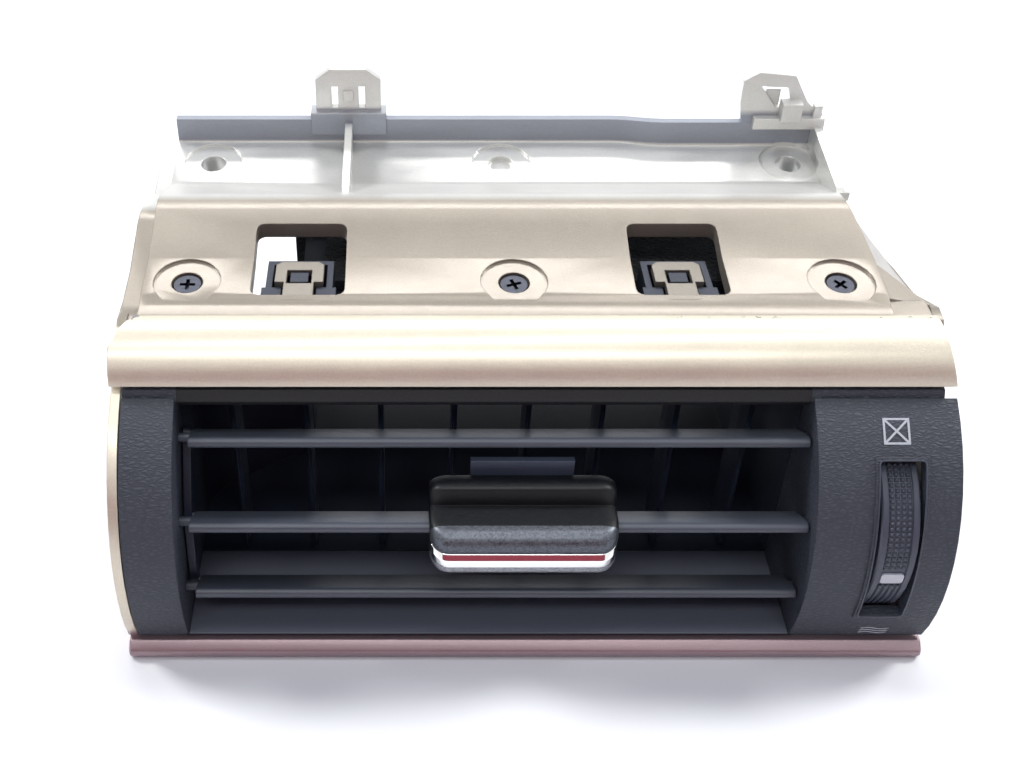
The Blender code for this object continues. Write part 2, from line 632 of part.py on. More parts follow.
def add_clips(panel):
    """Two clip towers on the rim and the gussets that brace it."""
    front = RIM_BACK - HOUSING_WALL
    foot = RIM_TOP - 4 * MM
    half = LEFT_CLIP_WIDTH / 2
    x = LEFT_CLIP_X
    tower = [(x - half, foot), (x + half, foot), (x + half, CLIP_TOP - 3 * MM), (x + half - 4 * MM, CLIP_TOP),
             (x - half + 4 * MM, CLIP_TOP), (x - half, CLIP_TOP - 3 * MM)]
    slots = []
    for side in (-1, 1):
        middle = x + side * LEFT_CLIP_SLOT_PITCH / 2
        low = CLIP_TOP - 5 * MM - LEFT_CLIP_SLOT_HEIGHT
        high = CLIP_TOP - 5 * MM
        slots.append([(middle - LEFT_CLIP_SLOT / 2, low), (middle + LEFT_CLIP_SLOT / 2, low),
                      (middle + LEFT_CLIP_SLOT / 2, high), (middle - LEFT_CLIP_SLOT / 2, high)])
    left = flat_prism("left_clip", tower, front + 0.1 * MM, RIM_BACK - 0.1 * MM, "Y", holes=slots)
    base = box("left_clip_base", (x - half - 1.5 * MM, front - 1.4 * MM, foot),
               (x + half + 1.5 * MM, RIM_BACK + 1.2 * MM, RIM_TOP + 2.6 * MM))
    lug = box("left_clip_lug", (x - 1.4 * MM, front - 0.8 * MM, CLIP_TOP - 9 * MM),
              (x + 1.4 * MM, front + 0.6 * MM, CLIP_TOP - 6.4 * MM))
    x = RIGHT_CLIP_X
    half = RIGHT_CLIP_WIDTH / 2
    jog = RIM_JOG
    tower = [(x - half + 2 * MM, foot), (x + half, foot), (x + half, RIM_TOP + 3 * MM), (x + half - 3.4 * MM, RIM_TOP + 6 * MM),
             (x + 3 * MM, CLIP_TOP - 1 * MM), (x - half + 4 * MM, CLIP_TOP), (x - half, CLIP_TOP - 2.5 * MM),
             (x - half, RIM_TOP + 6 * MM)]
    window = [(x - 6.0 * MM, CLIP_TOP - 4.0 * MM), (x - 1 * MM, CLIP_TOP - 10.5 * MM), (x + 3.5 * MM, CLIP_TOP - 10.5 * MM),
              (x + 1.5 * MM, CLIP_TOP - 4.4 * MM)]
    right = flat_prism("right_clip", tower, front - jog + 0.1 * MM, RIM_BACK - jog - 0.1 * MM, "Y", holes=[window])
    bar = box("right_clip_bar", (x - half + 4 * MM, front - jog - 2.2 * MM, RIM_TOP - 1 * MM),
              (x + half + 1.6 * MM, RIM_BACK - jog + 1 * MM, RIM_TOP + 2.2 * MM))
    block = box("right_clip_block", (x, front - jog - 3.4 * MM, RIM_TOP + 1.6 * MM),
                (x + RIGHT_CLIP_BLOCK, front - jog + 0.6 * MM, RIM_TOP + 1.6 * MM + RIGHT_CLIP_BLOCK))
    post = box("right_clip_post", (x + half - 1.6 * MM, front - jog - 1.4 * MM, RIM_TOP + 1 * MM),
               (x + half + 0.6 * MM, front - jog + 0.8 * MM, RIM_TOP + 5.6 * MM))
    barbs = []
    for name, middle, back in (("left_barb", LEFT_CLIP_X, RIM_BACK), ("right_barb", RIGHT_CLIP_X - 2 * MM, RIM_BACK - jog)):
        wedge = [(back - 0.6 * MM, RIM_TOP + 4 * MM), (RIM_BACK + CLIP_BARB, RIM_TOP + 4.4 * MM),
                 (RIM_BACK + CLIP_BARB, RIM_TOP + 5.2 * MM), (back - 0.6 * MM, RIM_TOP + 9.4 * MM)]
        barbs.append(flat_prism(name, wedge, middle - 2.0 * MM, middle + 2.0 * MM, "X"))
    join(panel, left, base, lug, right, bar, block, post, *barbs)
    for name, x in (("left_gusset", LEFT_CLIP_X), ("right_gusset", RIGHT_GUSSET_X)):
        back = front if x < RIM_JOG_START else front - jog
        outline = [(CREST_BACK[0] + 1 * MM, CREST_BACK[1] - 1.2 * MM), (back + 0.5 * MM, VALLEY_BACK[1] - 1.4 * MM),
                   (back + 0.5 * MM, RIM_TOP - 0.3 * MM), (back - 3 * MM, RIM_TOP - 0.3 * MM),
                   (CREST_BACK[0] + 2.5 * MM, CREST_BACK[1] + 0.5 * MM)]
        outline.insert(1, (VALLEY_FRONT[0], VALLEY_FRONT[1] - 1.2 * MM))
        gusset = flat_prism(name, outline, x - GUSSET_WALL / 2, x + GUSSET_WALL / 2, "X")
        join(panel, gusset)


def add_bosses(panel):
    """Screw bosses with a shallow washer seat; the middle rear one is blind."""
    for row, (y, radius, hole) in enumerate(((FRONT_BOSS_Y, FRONT_BOSS_RADIUS, FRONT_BOSS_HOLE),
                                             (REAR_BOSS_Y, REAR_BOSS_RADIUS, REAR_BOSS_HOLE))):
        for column, spot in enumerate(boss_places(y)):
            name = f"boss_{row}_{column}"
            join(panel, upright(name, hole + 2.2 * MM, -BOSS_LENGTH, -BOSS_RECESS - 0.2 * MM, spot))
            cut(panel, upright(name + "_seat", radius, -BOSS_RECESS, 3 * MM, spot))
            blind = row == 1 and column == 1
            if row == 0:
                cut(panel, upright(name + "_head_hole", hole, -BOSS_LENGTH + HOUSING_WALL, 3 * MM, spot))
                cut(panel, upright(name + "_shank_hole", SCREW_SHANK_RADIUS + RUNNING, -BOSS_LENGTH - 1 * MM, 0, spot))
            else:
                depth = -2.2 * MM if blind else -BOSS_LENGTH - 1 * MM
                cut(panel, upright(name + "_hole", hole, depth, 3 * MM, spot))


def add_windows(panel):
    """The two cut-outs, their skirts and the latch loop that hangs in each from its front edge."""
    half = WINDOW_WIDTH / 2
    for name, x in zip(("left", "right"), WINDOW_X):
        skirt_line = [(WINDOW_FRONT - 1.4 * MM, strip_height(WINDOW_FRONT - 1.4 * MM) - 0.4 * MM),
                      (STRIP_BACK[0], STRIP_BACK[1] - 0.4 * MM),
                      (WINDOW_BACK + 1.4 * MM, strip_height(WINDOW_BACK + 1.4 * MM) - 0.4 * MM)]
        skirt = flat_prism(name + "_skirt", band(skirt_line, WINDOW_SKIRT), x - half - 1.4 * MM, x + half + 1.4 * MM, "X")
        hole = box(name + "_window", (x - half, WINDOW_FRONT, 60 * MM), (x + half, WINDOW_BACK, 100 * MM))
        soften_uprights(hole, 2.0 * MM)
        cut(join(panel, skirt), hole)
        join(panel, make_latch_loop(name, x))


def soften_uprights(item, width):
    """Rounds only the upright edges of a block, before any modifier."""
    shape = bmesh.new()
    shape.from_mesh(item.data)
    edges = [e for e in shape.edges if abs(e.verts[0].co.z - e.verts[1].co.z) > 1 * MM]
    bmesh.ops.bevel(shape, geom=edges, offset=width, segments=3, affect="EDGES", profile=0.5)
    shape.to_mesh(item.data)
    shape.free()


def make_latch_loop(name, x):
    """A tongue from the window's front edge that widens to a loop around the register's catch."""
    tongue, loop = LATCH_TONGUE_WIDTH / 2, LATCH_LOOP_WIDTH / 2
    front = WINDOW_FRONT - 1.2 * MM
    knee = LATCH_KNEE
    hole = CATCH_WIDTH / 2 + 0.9 * MM
    outline = [(x - tongue, front), (x + tongue, front), (x + tongue, knee), (x + loop, knee),
               (x + loop, LATCH_BACK - 1.4 * MM), (x + loop - 1.4 * MM, LATCH_BACK),
               (x - loop + 1.4 * MM, LATCH_BACK), (x - loop, LATCH_BACK - 1.4 * MM), (x - loop, knee), (x - tongue, knee)]
    gap = [(x - hole, knee - 0.6 * MM), (x + hole, knee - 0.6 * MM), (x + hole, LATCH_BACK - 3.6 * MM), (x - hole, LATCH_BACK - 3.6 * MM)]
    top = strip_height(WINDOW_FRONT) - 0.5 * MM
    return flat_prism(name + "_latch", outline, top - LATCH_LOOP_THICKNESS, top, "Z", holes=[gap])


def make_screws():
    """Three cross-recess screws, sunk in the front bosses."""
    for column, spot in enumerate(boss_places(FRONT_BOSS_Y)):
        floor = -BOSS_LENGTH + HOUSING_WALL + SEAT
        top = floor + SCREW_HEAD_HEIGHT
        head = upright(f"screw_{column + 1}", SCREW_HEAD_RADIUS, floor, top, spot, "screw_steel", SMALL_SEGMENTS)
        join(head, upright("screw_shank", SCREW_SHANK_RADIUS, floor - SCREW_SHANK_LENGTH, floor + 0.4 * MM, spot,
                           segments=SMALL_SEGMENTS))
        for turn in (0, 90):
            depth = SCREW_DEPTH - (0.1 * MM if turn else 0)
            slot = box("screw_slot", (-1.9 * MM, -0.45 * MM, top - depth), (1.9 * MM, 0.45 * MM, top + 1 * MM))
            slot.data.transform(spot @ Matrix.Rotation(math.radians(turn + 20 * column), 4, "Z"))
            cut(head, slot)


def make_bezel():
    """The grained front frame: two end caps, the thumbwheel slot and the ledges between them."""
    finish = "grained_black"
    top, bottom = FACE_TOP_ANGLE, FACE_BOTTOM_ANGLE
    left = flat_prism("front_bezel", face_band(FACE_RADIUS, BEZEL_DEPTH_LEFT, bottom, top), BEZEL_LEFT, OPENING_LEFT, "X", finish)
    right = flat_prism("bezel_right_skin", face_band(FACE_RADIUS, FACE_SKIN, bottom, top), OPENING_RIGHT, BEZEL_RIGHT, "X")
    outer_radius = FACE_RADIUS - BEZEL_OUTER_WALL_STEP
    outer = flat_prism("bezel_outer_wall", face_band(outer_radius, BEZEL_OUTER_WALL_DEPTH, bottom + 0.3, top - 0.3),
                       BEZEL_RIGHT - BEZEL_WALL, BEZEL_RIGHT - 0.1 * MM, "X")
    join(left, right, outer)
    for name, start, end in (("bezel_left_cheek", OPENING_LEFT - BEZEL_WALL, OPENING_LEFT - 0.05 * MM),
                             ("bezel_right_cheek", OPENING_RIGHT + 0.05 * MM, OPENING_RIGHT + BEZEL_WALL)):
        join(left, flat_prism(name, cheek_outline(), start, end, "X"))
    floor = [face_point(FACE_RADIUS - 0.3 * MM, FACE_BOTTOM_ANGLE + 0.8), (DUCT_FRONT - SEAT, DUCT_BOTTOM + 0.3 * MM),
             (DUCT_FRONT - SEAT, DUCT_BOTTOM + DUCT_WALL)]
    floor.append((face_point(FACE_RADIUS - 0.3 * MM, FACE_BOTTOM_ANGLE + 3)[0], DUCT_BOTTOM + DUCT_WALL))
    ledge_ends = (OPENING_LEFT - OVERLAP, OPENING_RIGHT + OVERLAP)
    join(left, flat_prism("bezel_floor", floor, *ledge_ends, "X"))
    join(left, flat_prism("bezel_roof", roof_outline(), BEZEL_LEFT + 0.1 * MM, HOUSING_WIDTH / 2 - RIGHT_WALL - SEAT, "X"))
    add_wheel_slot(left)
    for pivot in slat_pivots().values():
        cut(left, rod("slat_pin_hole", SLAT_PIN_RADIUS + RUNNING, OPENING_LEFT - BEZEL_WALL - 1.0 * MM,
                      OPENING_LEFT + 1 * MM, "X", pivot, segments=SMALL_SEGMENTS),
            rod("slat_pin_hole", SLAT_PIN_RADIUS + RUNNING, OPENING_RIGHT - 1 * MM,
                OPENING_RIGHT + BEZEL_WALL + 1 * MM, "X", pivot, segments=SMALL_SEGMENTS))
    return left


def roof_outline():
    """The frame's upper ledge, with an upstand that closes the slit behind the roll's lip."""
    back, top = DUCT_FRONT - SEAT, FACE_TOP_ANGLE - 0.6
    return [face_point(FACE_RADIUS - 1.1 * MM, top), face_point(FACE_RADIUS - FACE_SKIN - 0.6 * MM, top), (back, DUCT_TOP - 3 * MM),
            (back, DUCT_TOP + 1.7 * MM), (back - 1.3 * MM, DUCT_TOP + 1.7 * MM), (back - 1.3 * MM, DUCT_TOP - 0.2 * MM),
            (back - 3.9 * MM, DUCT_TOP - 0.6 * MM)]


def face_band(radius, depth, start, end):
    return face_arc(radius, start, end) + face_arc(radius - depth, end, start)


def cheek_outline():
    """Inner wall beside the opening: the face arc in front, a straight joint to the duct behind."""
    front = face_arc(FACE_RADIUS - 0.2 * MM, FACE_BOTTOM_ANGLE + 0.4, FACE_TOP_ANGLE - 0.4)
    return front + [(DUCT_FRONT - SEAT, DUCT_TOP - 0.2 * MM), (DUCT_FRONT - SEAT, DUCT_BOTTOM + 0.4 * MM)]


def wheel_centre():
    return face_point(FACE_RADIUS + WHEEL_PROUD - WHEEL_RADIUS, WHEEL_ANGLE)


def add_wheel_slot(bezel):
    """The slot with its raised rim, and two arms that carry the wheel's stubs."""
    low, high = WHEEL_ANGLE - WHEEL_SLOT_HALF_ANGLE, WHEEL_ANGLE + WHEEL_SLOT_HALF_ANGLE
    half = WHEEL_SLOT_WIDTH / 2
    rim = flat_prism("slot_rim", face_band(FACE_RADIUS + 0.5 * MM, FACE_SKIN, low - 1.2, high + 1.2),
                     WHEEL_X - half - WHEEL_SLOT_RIM, WHEEL_X + half + WHEEL_SLOT_RIM, "X")
    hole = flat_prism("slot_hole", face_band(FACE_RADIUS + 4 * MM, FACE_SKIN + 8 * MM, low, high),
                      WHEEL_X - half, WHEEL_X + half, "X")
    cut(join(bezel, rim), hole)
    centre = Vector(wheel_centre())
    away = (Vector((FACE_Y, FACE_Z)) - centre).normalized()
    foot = centre - away * (WHEEL_RADIUS - WHEEL_PROUD - FACE_SKIN / 2)
    for name, x in wheel_arm_starts():
        outline = bar_outline([tuple(centre), tuple(foot)], WHEEL_ARM_WIDTH)
        outline = [p for p in outline if math.dist(p, (FACE_Y, FACE_Z)) < FACE_RADIUS - 0.3 * MM]
        hole = circle(centre, WHEEL_STUB_RADIUS + RUNNING)
        join(bezel, flat_prism(name, outline, x, x + WHEEL_ARM_THICKNESS, "X", holes=[hole]))


def wheel_arm_starts():
    gap = 0.8 * MM
    return (("wheel_arm_left", WHEEL_X - WHEEL_SLOT_WIDTH / 2 - gap - WHEEL_ARM_THICKNESS),
            ("wheel_arm_right", WHEEL_X + WHEEL_SLOT_WIDTH / 2 + gap))


def make_duct():
    """The duct: a wide throat that narrows to an offset port at the back."""
    wall = DUCT_WALL
    stations = [(DUCT_FRONT, OPENING_LEFT - BEZEL_WALL, OPENING_RIGHT + BEZEL_WALL, DUCT_BOTTOM, DUCT_TOP),
                (DUCT_TURN, OPENING_LEFT - BEZEL_WALL, OPENING_RIGHT + BEZEL_WALL, DUCT_BOTTOM, DUCT_TOP)]
    steps = 4
    for i in range(1, steps + 1):
        share = (1 - math.cos(math.pi * i / steps)) / 2
        first = stations[1]
        last = (DUCT_NARROW, PORT_LEFT, PORT_RIGHT, PORT_BOTTOM, PORT_TOP)
        y = DUCT_TURN + (DUCT_NARROW - DUCT_TURN) * i / steps
        stations.append((y, *[a + (b - a) * share for a, b in zip(first[1:], last[1:])]))
    stations.append((DUCT_BACK, PORT_LEFT, PORT_RIGHT, PORT_BOTTOM, PORT_TOP))
    duct = loft_tube("air_duct", stations, wall, "duct_black")
    add_vane_holes(duct)
    add_door_bearings(duct)
    add_catches(duct)
    return duct


def loft_tube(name, stations, wall, finish):
    """A rectangular tube through stations of (y, left, right, bottom, top), with a wall thickness."""
    shape = bmesh.new()
    rings = []
    for inset in (0, wall):
        rings.append([[shape.verts.new((x, y, z)) for x, z in
                       ((left + inset, bottom + inset), (right - inset, bottom + inset),
                        (right - inset, top - inset), (left + inset, top - inset))]
                      for y, left, right, bottom, top in stations])
    for ring_set in rings:
        for first, second in zip(ring_set, ring_set[1:]):
            for k in range(4):
                shape.faces.new((first[k], first[(k + 1) % 4], second[(k + 1) % 4], second[k]))
    for end in (0, -1):
        for k in range(4):
            shape.faces.new((rings[0][end][k], rings[0][end][(k + 1) % 4],
                             rings[1][end][(k + 1) % 4], rings[1][end][k]))
    bmesh.ops.recalc_face_normals(shape, faces=shape.faces)
    mesh = bpy.data.meshes.new(name)
    shape.to_mesh(mesh)
    shape.free()
    return place(mesh, name, finish)


def vane_xs():
    return [VANE_MIDDLE_X + VANE_PITCH * (i - (VANE_COUNT - 1) / 2) for i in range(VANE_COUNT)]


def vane_pivot_y():
    return VANE_FRONT + VANE_CHORD / 2


def add_vane_holes(duct):
    radius = VANE_PIN_RADIUS + RUNNING
    for x in vane_xs():
        centre = (x, vane_pivot_y())
        cut(duct, rod("vane_hole_low", radius, DUCT_BOTTOM - 1 * MM, DUCT_BOTTOM + DUCT_WALL + 1 * MM, "Z", centre, segments=12),
            rod("vane_hole_high", radius, DUCT_TOP - DUCT_WALL - 1 * MM, DUCT_TOP + 1 * MM, "Z", centre, segments=12))


def add_door_bearings(duct):
    centre = (DOOR_Y, DOOR_Z)
    for start, end in ((PORT_LEFT - 1.6 * MM, PORT_LEFT + 0.6 * MM), (PORT_RIGHT - 0.6 * MM, PORT_RIGHT + 1.6 * MM)):
        join(duct, rod("door_bearing", DOOR_SHAFT_RADIUS + 2 * MM, start, end, "X", centre))
    cut(duct, rod("door_bore", DOOR_SHAFT_RADIUS + RUNNING, PORT_LEFT - 3 * MM, PORT_LEFT + 3 * MM, "X", centre),
        rod("door_bore", DOOR_SHAFT_RADIUS + RUNNING, PORT_RIGHT - 3 * MM, PORT_RIGHT + 3 * MM, "X", centre))


def add_catches(duct):
    """The catch block and its guide under each window, standing on the duct's roof."""
    for name, x in zip(("left", "right"), WINDOW_X):
        foot = DUCT_TOP - 0.6 * MM
        front = LATCH_KNEE + 0.5 * MM
        loop = LATCH_LOOP_WIDTH / 2 + 0.7 * MM
        back = LATCH_BACK + 0.7 * MM
        wall = CATCH_GUIDE_WALL
        half = CATCH_WIDTH / 2
        catch = box(name + "_catch", (x - half, front, foot), (x + half, LATCH_BACK - 4.2 * MM, CATCH_TOP))
        guide = [(x - loop - wall, front - 3 * MM), (x - loop, front - 3 * MM), (x - loop, back), (x + loop, back),
                 (x + loop, front - 3 * MM), (x + loop + wall, front - 3 * MM), (x + loop + wall, back + wall),
                 (x - loop - wall, back + wall)]
        stand = flat_prism(name + "_guide", guide, foot, CATCH_TOP - 1.0 * MM, "Z")
        for side in (-1, 1):
            near, far = side * (LATCH_TONGUE_WIDTH / 2 + 0.6 * MM), side * CATCH_WING_REACH
            join(duct, box(name + "_wing", (x + min(near, far), WINDOW_FRONT + 0.6 * MM, foot - 0.1 * MM),
                           (x + max(near, far), LATCH_KNEE - 0.6 * MM, CATCH_WING_TOP + 0.1 * MM)))
        block = box(name + "_stand", (x - loop - wall + 0.2 * MM, front - 2.6 * MM, foot - 0.2 * MM),
                    (x + loop + wall - 0.2 * MM, back + wall - 0.2 * MM, DUCT_TOP + 3 * MM))
        join(duct, block, stand, catch)


def slat_pivots():
    """(Y, Z) of each slat's pins."""
    turn = math.radians(SLAT_PITCH_ANGLE)
    pivots = {}
    for name, angle in SLAT_ANGLES.items():
        y, z = face_point(SLAT_RADIUS, angle)
        pivots[name] = (y + SLAT_CHORD / 2 * math.cos(turn), z - SLAT_CHORD / 2 * math.sin(turn))
    return pivots


def slat_outline():
    """A blade with a round front edge and a thin tail, about its pivot, level."""
    nose = SLAT_THICKNESS / 2
    front = -SLAT_CHORD / 2 + nose
    points = [(front + nose * math.cos(math.radians(a)), nose * math.sin(math.radians(a)))
              for a in range(90, 271, 30)]
    return points + [(0, -nose), (SLAT_CHORD / 2, -SLAT_TAIL / 2), (SLAT_CHORD / 2, SLAT_TAIL / 2), (0, nose)]


def turn_slat(points):
    turn = -math.radians(SLAT_PITCH_ANGLE)
    return [(y * math.cos(turn) - z * math.sin(turn), y * math.sin(turn) + z * math.cos(turn)) for y, z in points]


def slat_crank():
    return turn_slat([(SLAT_CRANK, 0)])[0]


def slat_span():
    left = OPENING_LEFT + SLAT_END_GAP + SLAT_LINK_THICKNESS + 2 * SLAT_LINK_GAP
    return left, OPENING_RIGHT - SLAT_END_GAP


def make_slat(name, pivot):
    left, right = slat_span()
    origin = (0, *pivot)
    slat = flat_prism("slat_" + name, turn_slat(slat_outline()), left, right, "X", "slat_grey", origin)
    reach = BEZEL_WALL - 0.2 * MM
    join(slat, rod(name + "_left_pin", SLAT_PIN_RADIUS, OPENING_LEFT - reach, left + OVERLAP, "X", origin=origin, segments=12),
         rod(name + "_right_pin", SLAT_PIN_RADIUS, right - OVERLAP, OPENING_RIGHT + reach, "X", origin=origin, segments=12),
         rod(name + "_crank_pin", SLAT_CRANK_PIN_RADIUS, OPENING_LEFT + SLAT_END_GAP, left + OVERLAP, "X", slat_crank(),
             origin=origin, segments=12))
    return slat


def make_slat_link():
    """The bar that keeps the three slats parallel; its holes take their crank pins."""
    middle = slat_pivots()["middle"]
    crank = slat_crank()
    pins = [(p[0] + crank[0] - middle[0] - crank[0], p[1] + crank[1] - middle[1] - crank[1])
            for p in slat_pivots().values()]
    start = OPENING_LEFT + SLAT_END_GAP
    holes = [circle(pin, SLAT_CRANK_PIN_RADIUS + RUNNING, 12) for pin in pins]
    return flat_prism("slat_link", bar_outline(pins, SLAT_LINK_WIDTH), start, start + SLAT_LINK_THICKNESS, "X", "link_grey",
                      (0, middle[0] + crank[0], middle[1] + crank[1]), holes)


def knob_section():
    """The knob's side outline about the middle slat's pivot, front face first, then over the top."""
    tip, top, low = -KNOB_FRONT_REACH, KNOB_TOP, -KNOB_BOTTOM
    return [(tip + 1.2 * MM, low), (tip + 0.2 * MM, low + 1.4 * MM), (tip, low + 4.0 * MM),
            (tip, low + 9.6 * MM), (tip + 1.4 * MM, low + 12.4 * MM), (tip + 3.6 * MM, low + 15.0 * MM),
            (tip + 7.2 * MM, top + 0.8 * MM), (KNOB_BACK_REACH - 0.6 * MM, top), (KNOB_BACK_REACH, 0),
            (KNOB_BACK_REACH - 1.6 * MM, low + 1.0 * MM), (tip + 3.6 * MM, low - 0.4 * MM)]


def grow_slat_outline(gap):
    """The slat's section with a gap all round, for what slides along it."""
    return [(y + math.copysign(gap, y) if abs(y) > 1 * MM else y, z + math.copysign(gap, z))
            for y, z in slat_outline()]


def make_knob():
    """The sliding grip on the middle slat and the bright strip let into its front."""
    pivot = slat_pivots()["middle"]
    origin = (KNOB_X, *pivot)
    half = KNOB_WIDTH / 2
    body = soften(flat_prism("knob_body", knob_section(), -half, half, "X", "knob_black", origin), KNOB_ROUNDING)
    tunnel = turn_slat(grow_slat_outline(SEAT))
    cut(body, flat_prism("knob_tunnel", tunnel, -half - 1 * MM, half + 1 * MM, "X", origin=origin))
    tip = -KNOB_FRONT_REACH
    low = -KNOB_BOTTOM + KNOB_STRIP_RISE
    high = low + KNOB_STRIP_HEIGHT
    groove = [(tip - 3 * MM, low), (tip + KNOB_STRIP_DEPTH, low), (tip + KNOB_STRIP_DEPTH, high), (tip - 3 * MM, high)]
    end = half - KNOB_STRIP_END
    cut(body, flat_prism("strip_groove", groove, -end, end, "X", origin=origin))
    face, back = tip - KNOB_STRIP_PROUD, tip + KNOB_STRIP_DEPTH - SEAT
    strip = [(back, low + SEAT), (back, high - SEAT), (face + 0.5 * MM, high - SEAT), (face, high - 1.2 * MM),
             (face, low + 1.2 * MM), (face + 0.5 * MM, low + SEAT)]
    flat_prism("knob_bright_strip", strip, SEAT - end, end - SEAT, "X", "bright_chrome", origin)


def make_knob_fork():
    """The clip behind the knob: an upright plate and two prongs that straddle one vane's tongue."""
    pivot = slat_pivots()["middle"]
    origin = (KNOB_X, *pivot)
    start = KNOB_BACK_REACH + SEAT
    plate = box("knob_fork", (-FORK_PLATE_WIDTH / 2, start, -1.8 * MM),
                (FORK_PLATE_WIDTH / 2, start + FORK_PLATE_THICKNESS, FORK_PLATE_TOP), "link_grey", origin)
    middle = fork_vane_x() - KNOB_X
    for side in (-1, 1):
        near = middle + side * FORK_HALF_GAP
        far = near + side * FORK_PRONG_WIDTH
        prong = box("fork_prong", (min(near, far), start + 0.2 * MM, -FORK_PRONG_HEIGHT / 2),
                    (max(near, far), FORK_REACH, FORK_PRONG_HEIGHT / 2), origin=origin)
        join(plate, prong)


def fork_vane_x():
    """Where the vane stands that the knob's fork moves."""
    return vane_xs()[FORK_VANE - 1]


def vane_top():
    return DUCT_TOP - DUCT_WALL - VANE_LINK_SPACE


def make_vanes():
    """Upright blades on pins, one with a tongue for the fork, and the bar that joins them."""
    y = vane_pivot_y()
    low = DUCT_BOTTOM + DUCT_WALL + VANE_END_GAP
    high = vane_top()
    half, thick = VANE_CHORD / 2, VANE_THICKNESS / 2
    blade = [(0, -half), (thick * 0.8, -half + 0.8 * MM), (thick, 0), (0.3 * MM, half), (-0.3 * MM, half),
             (-thick, 0), (-thick * 0.8, -half + 0.8 * MM)]
    pin_high = DUCT_TOP - 0.2 * MM
    link_low = high + VANE_LINK_GAP
    link_high = link_low + VANE_LINK_THICKNESS
    for i, x in enumerate(vane_xs()):
        origin = (x, y, 0)
        vane = flat_prism(f"vane_{i + 1}", blade, low, high, "Z", "duct_black", origin)
        join(vane, rod(f"vane_{i + 1}_low_pin", VANE_PIN_RADIUS, DUCT_BOTTOM + 0.2 * MM, low + OVERLAP, "Z",
                       origin=origin, segments=12),
             rod(f"vane_{i + 1}_high_pin", VANE_PIN_RADIUS, high - OVERLAP, pin_high, "Z", origin=origin, segments=12),
             rod(f"vane_{i + 1}_crank_pin", VANE_CRANK_PIN_RADIUS, high - OVERLAP, link_high, "Z",
                 (0, VANE_CRANK), origin=origin, segments=12))
        if i + 1 == FORK_VANE:
            middle = slat_pivots()["middle"][1]
            join(vane, box("vane_tongue", (-thick * 0.7, FORK_TONGUE_FRONT - y, middle - FORK_TONGUE_HEIGHT / 2),
                           (thick * 0.7, -half + 2 * MM, middle + FORK_TONGUE_HEIGHT / 2), origin=origin))
    pins = [(x, 0) for x in vane_xs()]
    ends = [(pins[0][0], 0), (pins[-1][0], 0)]
    holes = [circle(pin, VANE_CRANK_PIN_RADIUS + RUNNING, 12) for pin in pins]
    flat_prism("vane_link", bar_outline(ends, VANE_LINK_WIDTH), link_low, link_high, "Z", "link_grey",
               (0, y + VANE_CRANK, 0), holes)


def turned(name, profile, finish, origin, segments):
    """A profile of (radius, place along X) turned about X; it runs down its outer side."""
    shape = bmesh.new()
    verts = [shape.verts.new((radius, 0, along)) for radius, along in profile]
    for a, b in zip(verts, verts[1:]):
        shape.edges.new((a, b))
    mesh = bpy.data.meshes.new(name + "_profile")
    shape.to_mesh(mesh)
    shape.free()
    guide = bpy.data.objects.new(name + "_profile", mesh)
    bpy.context.scene.collection.objects.link(guide)
    screw = guide.modifiers.new("turn", "SCREW")
    screw.steps = segments
    screw.render_steps = segments
    screw.use_merge_vertices = True
    screw.merge_threshold = 0.00001
    bpy.context.view_layer.update()
    made = bpy.data.meshes.new_from_object(guide.evaluated_get(bpy.context.evaluated_depsgraph_get()))
    made.name = name
    bpy.data.objects.remove(guide, do_unlink=True)
    made.transform(Matrix(((0, 0, 1, 0), (1, 0, 0, 0), (0, 1, 0, 0), (0, 0, 0, 1))))
    made.shade_smooth()
    made.set_sharp_from_angle(angle=math.radians(30))
    return place(made, name, finish, origin)


def crank_spot(radius=CRANK_RADIUS):
    """(Y, Z) of a crank pin about its own axis; both cranks point the same way."""
    turn = math.radians(CRANK_ANGLE)
    return (radius * math.cos(turn), radius * math.sin(turn))


def control_rod_start():
    return PORT_RIGHT + CONTROL_ROD_OFFSET


def make_thumbwheel():
    """The knurled wheel with stubs that turn in the bezel's arms, and its crank pin."""
    origin = (WHEEL_X, *wheel_centre())
    half, web = WHEEL_WIDTH / 2, WHEEL_WEB / 2
    rim, hub = WHEEL_RADIUS - WHEEL_RIM, WHEEL_STUB_RADIUS + 1.6 * MM
    arm = WHEEL_SLOT_WIDTH / 2 + 0.8 * MM
    groove, band_half = WHEEL_RADIUS - 0.45 * MM, half - 1.6 * MM
    side = [(0, arm + WHEEL_ARM_THICKNESS + 0.6 * MM), (WHEEL_STUB_RADIUS, arm + WHEEL_ARM_THICKNESS + 0.6 * MM),
            (WHEEL_STUB_RADIUS, arm - SEAT), (hub, arm - SEAT), (hub, web), (rim, web), (rim, half),
            (WHEEL_RADIUS - 0.4 * MM, half), (WHEEL_RADIUS, half - 0.4 * MM), (WHEEL_RADIUS, band_half),
            (groove, band_half - 0.2 * MM)]
    profile = side + [(radius, -along) for radius, along in side[::-1]]
    wheel = turned("thumbwheel", profile, "grained_black", origin, WHEEL_SEGMENTS)
    join(wheel, rod("wheel_crank_pin", CRANK_PIN_RADIUS, control_rod_start() - WHEEL_X - 0.6 * MM, 0, "X", crank_spot(),
                    origin=origin, segments=SMALL_SEGMENTS))


